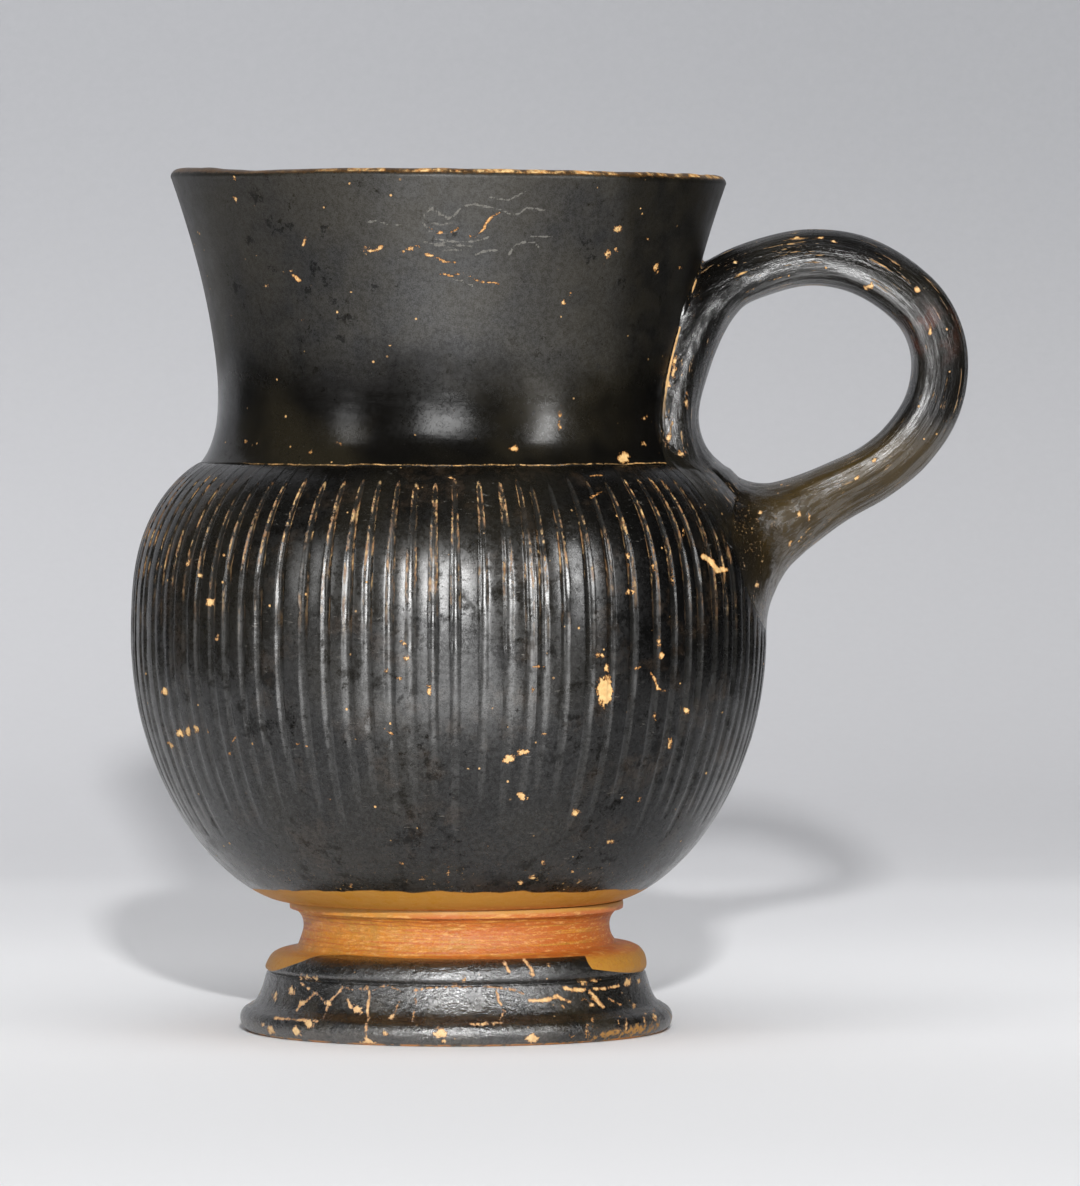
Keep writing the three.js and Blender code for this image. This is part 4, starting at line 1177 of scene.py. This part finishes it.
def neck_shape(points, angles):
    """The neck with its lip dipped towards the handle and worn, and with its marks."""
    height = points[..., 2]
    up = np.clip((height - NECK_JOINT_Z) / (LIP_Z - NECK_JOINT_Z), 0, 1)
    radius = np.hypot(points[..., 0], points[..., 1])
    hand = 0.07 + 0.03 * soft_noise(points, 26, 5) + 0.006 * soft_noise(points * [1, 1, 4], 6, 6)
    turned = turned_xy(radius - hand * np.clip(up * 40, 0, 1), angles)
    edge = np.clip((height - LIP_Z + 1.4) / 1.4, 0, 1)
    off = (angles - LIP_WEAR_ANGLE + math.pi) % (2 * math.pi) - math.pi
    worn = LIP_WEAR_DEPTH * np.exp(-((off / LIP_WEAR_WIDTH) ** 2))
    dip = 0.1 + worn + 0.05 + 0.05 * soft_noise(points * [1, 1, 0], 6, 8)
    drop = turned[..., 0] / LIP_RADIUS * (LIP_DIP / 2) * up
    lifted = height - drop - dip * edge
    points = np.concatenate([turned, lifted[..., None]], -1)
    places = points.reshape(-1, 3) + [AXIS_X, 0, 0]
    attributes = {key: mark_level(places, marks, neck_outer) for key, marks in NECK_MARKS.items()}
    return points, {"lip": edge, **attributes}


def neck_piece():
    size = LIP_THICKNESS / 2
    lip_base = LIP_Z - size
    outside = np.linspace(NECK_JOINT_Z, lip_base, 144)
    outer, inner = float(neck_outer(lip_base)), float(neck_inner(lip_base))
    lip = [
        [(outer + inner) / 2 + (outer - inner) / 2 * math.cos(a), lip_base + size * math.sin(a)]
        for a in np.linspace(0, math.pi, 21)[1:-1]
    ]
    inside = np.linspace(lip_base, NECK_JOINT_Z, 60)
    profile = [[float(neck_outer(z)), z] for z in outside] + lip
    profile += [[float(neck_inner(z)), z] for z in inside]
    look = neck_material()
    turned_piece("flared_neck", profile, TURNED_COLUMNS, AXIS_X, neck_shape, look, "neck")


# Foot

# The level at which the gloss ends, below each of these pixels across
BORDER_PX = (240, 267, 289, 310, 318, 345, 585, 588, 592, 646, 680)
BORDER_Z = (7.0, 7.3, 8.6, 9.7, 9.95, 10.15, 10.15, 9.3, 8.6, 7.2, 7.0)


def foot_shape(points, angles):
    """The foot with its fascia askew, the border of its gloss, and its marks."""
    height = points[..., 2]
    radius = np.hypot(points[..., 0], points[..., 1])
    free = soft_step(height, 0.1, 0.6) * soft_step(height, FOOT_JOINT_Z - 0.9, FOOT_JOINT_Z - 1.6)
    hand = 0.06 + 0.035 * soft_noise(points, 14, 15) + 0.02 * soft_noise(points, 3, 16)
    turned = turned_xy(radius - hand * free, angles)
    weight = soft_step(height, 7.2, 9) * soft_step(height, 12, 10.4)
    lifted = height + FASCIA_RISE * turned[..., 0] / 22 * weight * (radius > RECESS_TOP_RADIUS + 3)
    px = MIDDLE_PX + (turned[..., 0] + FOOT_AXIS_X) * PIXELS_PER_MM / (1 + turned[..., 1] / CAMERA_DISTANCE)
    seen = np.interp(px, BORDER_PX, BORDER_Z)
    behind = 9.9 + 0.3 * soft_noise(points * [1, 1, 0], 8, 18)
    border = seen + (behind - seen) * soft_step(turned[..., 1], 0, 6)
    reserve = np.where(radius > 17, lifted - border, -5)
    points = np.concatenate([turned, lifted[..., None]], -1)
    places = points.reshape(-1, 3) + [FOOT_AXIS_X, 0, 0]
    marks = {"chips": FOOT_CHIPS, "cracks": FOOT_STROKES, "smudges": FOOT_SMUDGES}
    attributes = {key: mark_level(places, found, foot_radius, FOOT_AXIS_X) for key, found in marks.items()}
    return points, {"reserve": reserve, **attributes}


def foot_piece():
    recess = [
        [RECESS_TOP_RADIUS * (1 - s) + RESTING_RING_INNER * s, RECESS_DEPTH * math.sqrt(1 - s * s)]
        for s in np.linspace(0, 1, 20)
    ]
    inner = BOWL_SEAT_RADIUS - SEAT_STEP_WIDTH
    profile = [[0, RECESS_DEPTH]] + recess + foot_outline()
    profile += [[inner, FOOT_JOINT_Z - SEAT_STEP], [inner, FOOT_JOINT_Z], [0, FOOT_JOINT_Z]]
    look = foot_material()
    turned_piece(
        "moulded_foot", profile, TURNED_COLUMNS, FOOT_AXIS_X, foot_shape, look, "foot"
    )


# Luting coils at the two turned joints


def coil_shape(points, angles):
    radius = np.hypot(points[..., 0], points[..., 1])
    turned = turned_xy(radius - 0.1 + 0.06 * soft_noise(points, 8, 21), angles)
    return np.concatenate([turned, points[..., 2:]], -1), {}


def coil_piece(name, radius, proud, bottom, axis_x, material, node):
    """A coil in a stepped joint. It stands proud outwards, or inwards where proud is below 0."""
    shown = [[radius + proud * math.sin(math.pi * s), bottom + s] for s in np.linspace(0, 1, 13)]
    seated = [[radius - math.copysign(1.5, proud), bottom + s] for s in (1, 0)]
    profile = shown + seated if proud > 0 else (shown + seated)[::-1]
    turned_piece(name, profile, COIL_COLUMNS, axis_x, coil_shape, material, node)


luting_look = luting_material()
bowl_piece()
neck_piece()
foot_piece()
handle_piece()
luting_piece()
coil_piece(
    "neck_joint_coil", BORE_RADIUS, -0.5, NECK_JOINT_Z - SEAT_STEP, AXIS_X,
    luting_look, "neck_luting_coil",
)
coil_piece(
    "foot_joint_coil", BOWL_SEAT_RADIUS, 0.06, FOOT_JOINT_Z - SEAT_STEP, FOOT_AXIS_X,
    reserved_material(), "foot_luting_coil",
)


# Floor, light and camera


PAPER_ROUGHNESS = 0.8
PAPER_BUMP = 0.02


def flag_material(name, colour):
    s = Shading(name)
    grain = s.noise(1.5, 3, 0.6)
    paler = tuple(min(1, c * 1.03) for c in colour[:3]) + (1,)
    return s.finish(s.mix(grain, colour, paler), PAPER_ROUGHNESS, grain, PAPER_BUMP)


# Paper colours with painted shade and light: brightest around the mug, darker at the front, towards the
# back and up the backdrop
FLOOR_FRONT = (0.78, 0.78, 0.79, 1)
FLOOR_MIDDLE = (0.95, 0.95, 0.96, 1)
FLOOR_BACK = (0.85, 0.85, 0.865, 1)
BACKDROP_LOW = (0.715, 0.715, 0.735, 1)
BACKDROP_HIGH = (0.405, 0.41, 0.43, 1)


def floor_material():
    """Pale paper with painted shade: darker up the backdrop, at the front and towards the right, where it
    gets less light. It is clear from behind.
    """
    s = Shading("pale_floor")
    grain = s.noise(1.5, 3, 0.6)
    colour = s.mix(s.step(s.y, -150, 40), FLOOR_FRONT, FLOOR_MIDDLE)
    colour = s.mix(s.step(s.y, 60, 220), colour, FLOOR_BACK)
    backdrop = s.mix(s.step(s.z, -40, 150), BACKDROP_LOW, BACKDROP_HIGH)
    # painted shade on the backdrop's right
    backdrop = s.mix(s.step(s.x, -110, 110, 0, 0.14), backdrop, GLOSS_DEEP_AND_SHADE)
    colour = s.mix(s.step(s.y, 230, 350), colour, backdrop)
    colour = s.mix(grain * 0.06, colour, FLOOR_MIDDLE)
    material = s.finish(colour, PAPER_ROUGHNESS, grain, PAPER_BUMP)
    from_behind = s.node("NewGeometry", {}, "Backfacing")
    paper, clear = Value(s, s.shader.outputs[0]), s.node("BsdfTransparent", {})
    shown = s.node("MixShader", {0: from_behind, 1: paper, 2: clear})
    s.put(shown, s.tree.nodes["Material Output"].inputs["Surface"])
    return material


def stage_mesh(name, points, faces, material):
    mesh = bpy.data.meshes.new(name)
    mesh.from_pydata(points, [], faces)
    mesh.shade_smooth()
    piece = bpy.data.objects.new(name, mesh)
    bpy.context.scene.collection.objects.link(piece)
    mesh.materials.append(material)
    return piece


def sweep():
    """A pale floor that curves up into the backdrop."""
    half, front, back, bend, top = 4.0, -1.1, 0.28, 0.25, 4.0
    line = [(front, 0.0), (back, 0.0)]
    for angle in np.linspace(0, math.pi / 2, 16)[1:]:
        line.append((back + bend * math.sin(angle), bend - bend * math.cos(angle)))
    line.append((back + bend, top))
    points = [(x, y, z) for y, z in line for x in (-half, half)]
    faces = [(2 * i, 2 * i + 1, 2 * i + 3, 2 * i + 2) for i in range(len(line) - 1)]
    stage_mesh("floor", points, faces, floor_material())


def shade_board(name, x, front, back, colour):
    """A dark board beside the mug that only the gloss mirrors: painted shade in its reflections. It casts
    no shadow and matt surfaces don't see it.
    """
    points = [(x, y, z) for y, z in ((front, 0.0), (back, 0.0), (back, 0.5), (front, 0.5))]
    flag = stage_mesh(name, points, [(0, 1, 2, 3)], flag_material(name, colour))
    flag.visible_shadow = False
    flag.visible_diffuse = False


def soft_light(name, place, target, width, height, power, mirrored=False):
    """A soft light for the matt surfaces, or one that only the gloss mirrors."""
    data = bpy.data.lights.new(name, "AREA")
    data.shape = "RECTANGLE"
    data.size, data.size_y, data.energy = width, height, power
    light = bpy.data.objects.new(name, data)
    light.location = place
    light.rotation_euler = (Vector(target) - Vector(place)).to_track_quat("-Z", "Y").to_euler()
    light.visible_camera = False
    light.visible_glossy = mirrored
    light.visible_diffuse = not mirrored
    bpy.context.scene.collection.objects.link(light)


def light_scene():
    """Lamps that gloss mirrors, lamps that light matt surfaces and throw the shadow, and a faint sky."""
    middle = (AXIS_X * MM, 0, 0.05)
    soft_light("window", (-0.06, -1.6, 0.44), middle, 0.60, 0.56, 28, mirrored=True)
    soft_light("window_right", (0.92, -0.78, 0.42), middle, 0.16, 0.60, 7, mirrored=True)
    soft_light("window_left", (-0.94, -0.78, 0.42), middle, 0.20, 0.60, 2, mirrored=True)
    above_floor = (AXIS_X * MM, -0.33, 0.004)
    soft_light("floor_glow", above_floor, (AXIS_X * MM, -0.33, 0.5), 0.16, 0.44, 0.7, mirrored=True)
    soft_light("front", (-0.06, -1.6, 0.44), middle, 0.60, 0.56, 3)
    soft_light("overhead", (0, -0.5, 1.6), middle, 1.8, 1.2, 14.6)
    soft_light("shadow_lamp", (0.05, -1.4, 0.47), middle, 0.045, 0.045, 22)
    world = bpy.data.worlds.new("studio")
    world.use_nodes = True
    background = world.node_tree.nodes["Background"]
    background.inputs["Color"].default_value = (0.75, 0.76, 0.79, 1)
    background.inputs["Strength"].default_value = 0.06
    bpy.context.scene.world = world
    bpy.context.scene.view_settings.view_transform = "Standard"


def aim_camera():
    middle_z = (BASE_PX - PHOTO_HEIGHT_PX / 2) / PIXELS_PER_MM
    data = bpy.data.cameras.new("camera")
    data.sensor_width = 36
    data.lens = data.sensor_width * CAMERA_DISTANCE * PIXELS_PER_MM / PHOTO_HEIGHT_PX
    camera = bpy.data.objects.new("camera", data)
    camera.location = Vector((CAMERA_X, -CAMERA_DISTANCE, CAMERA_HEIGHT)) * MM
    camera.rotation_euler = (math.pi / 2 - math.atan2(CAMERA_HEIGHT - middle_z, CAMERA_DISTANCE), 0, 0)
    bpy.context.scene.collection.objects.link(camera)
    bpy.context.scene.camera = camera


sweep()
# dark boards that put painted shade into the gloss's reflections on both sides
shade_board("shade_flag_right", 0.22, -0.16, 0.26, (0.01, 0.01, 0.01, 1))
shade_board("shade_flag_left", -0.30, -0.10, 0.20, (0.06, 0.06, 0.06, 1))
light_scene()
aim_camera()
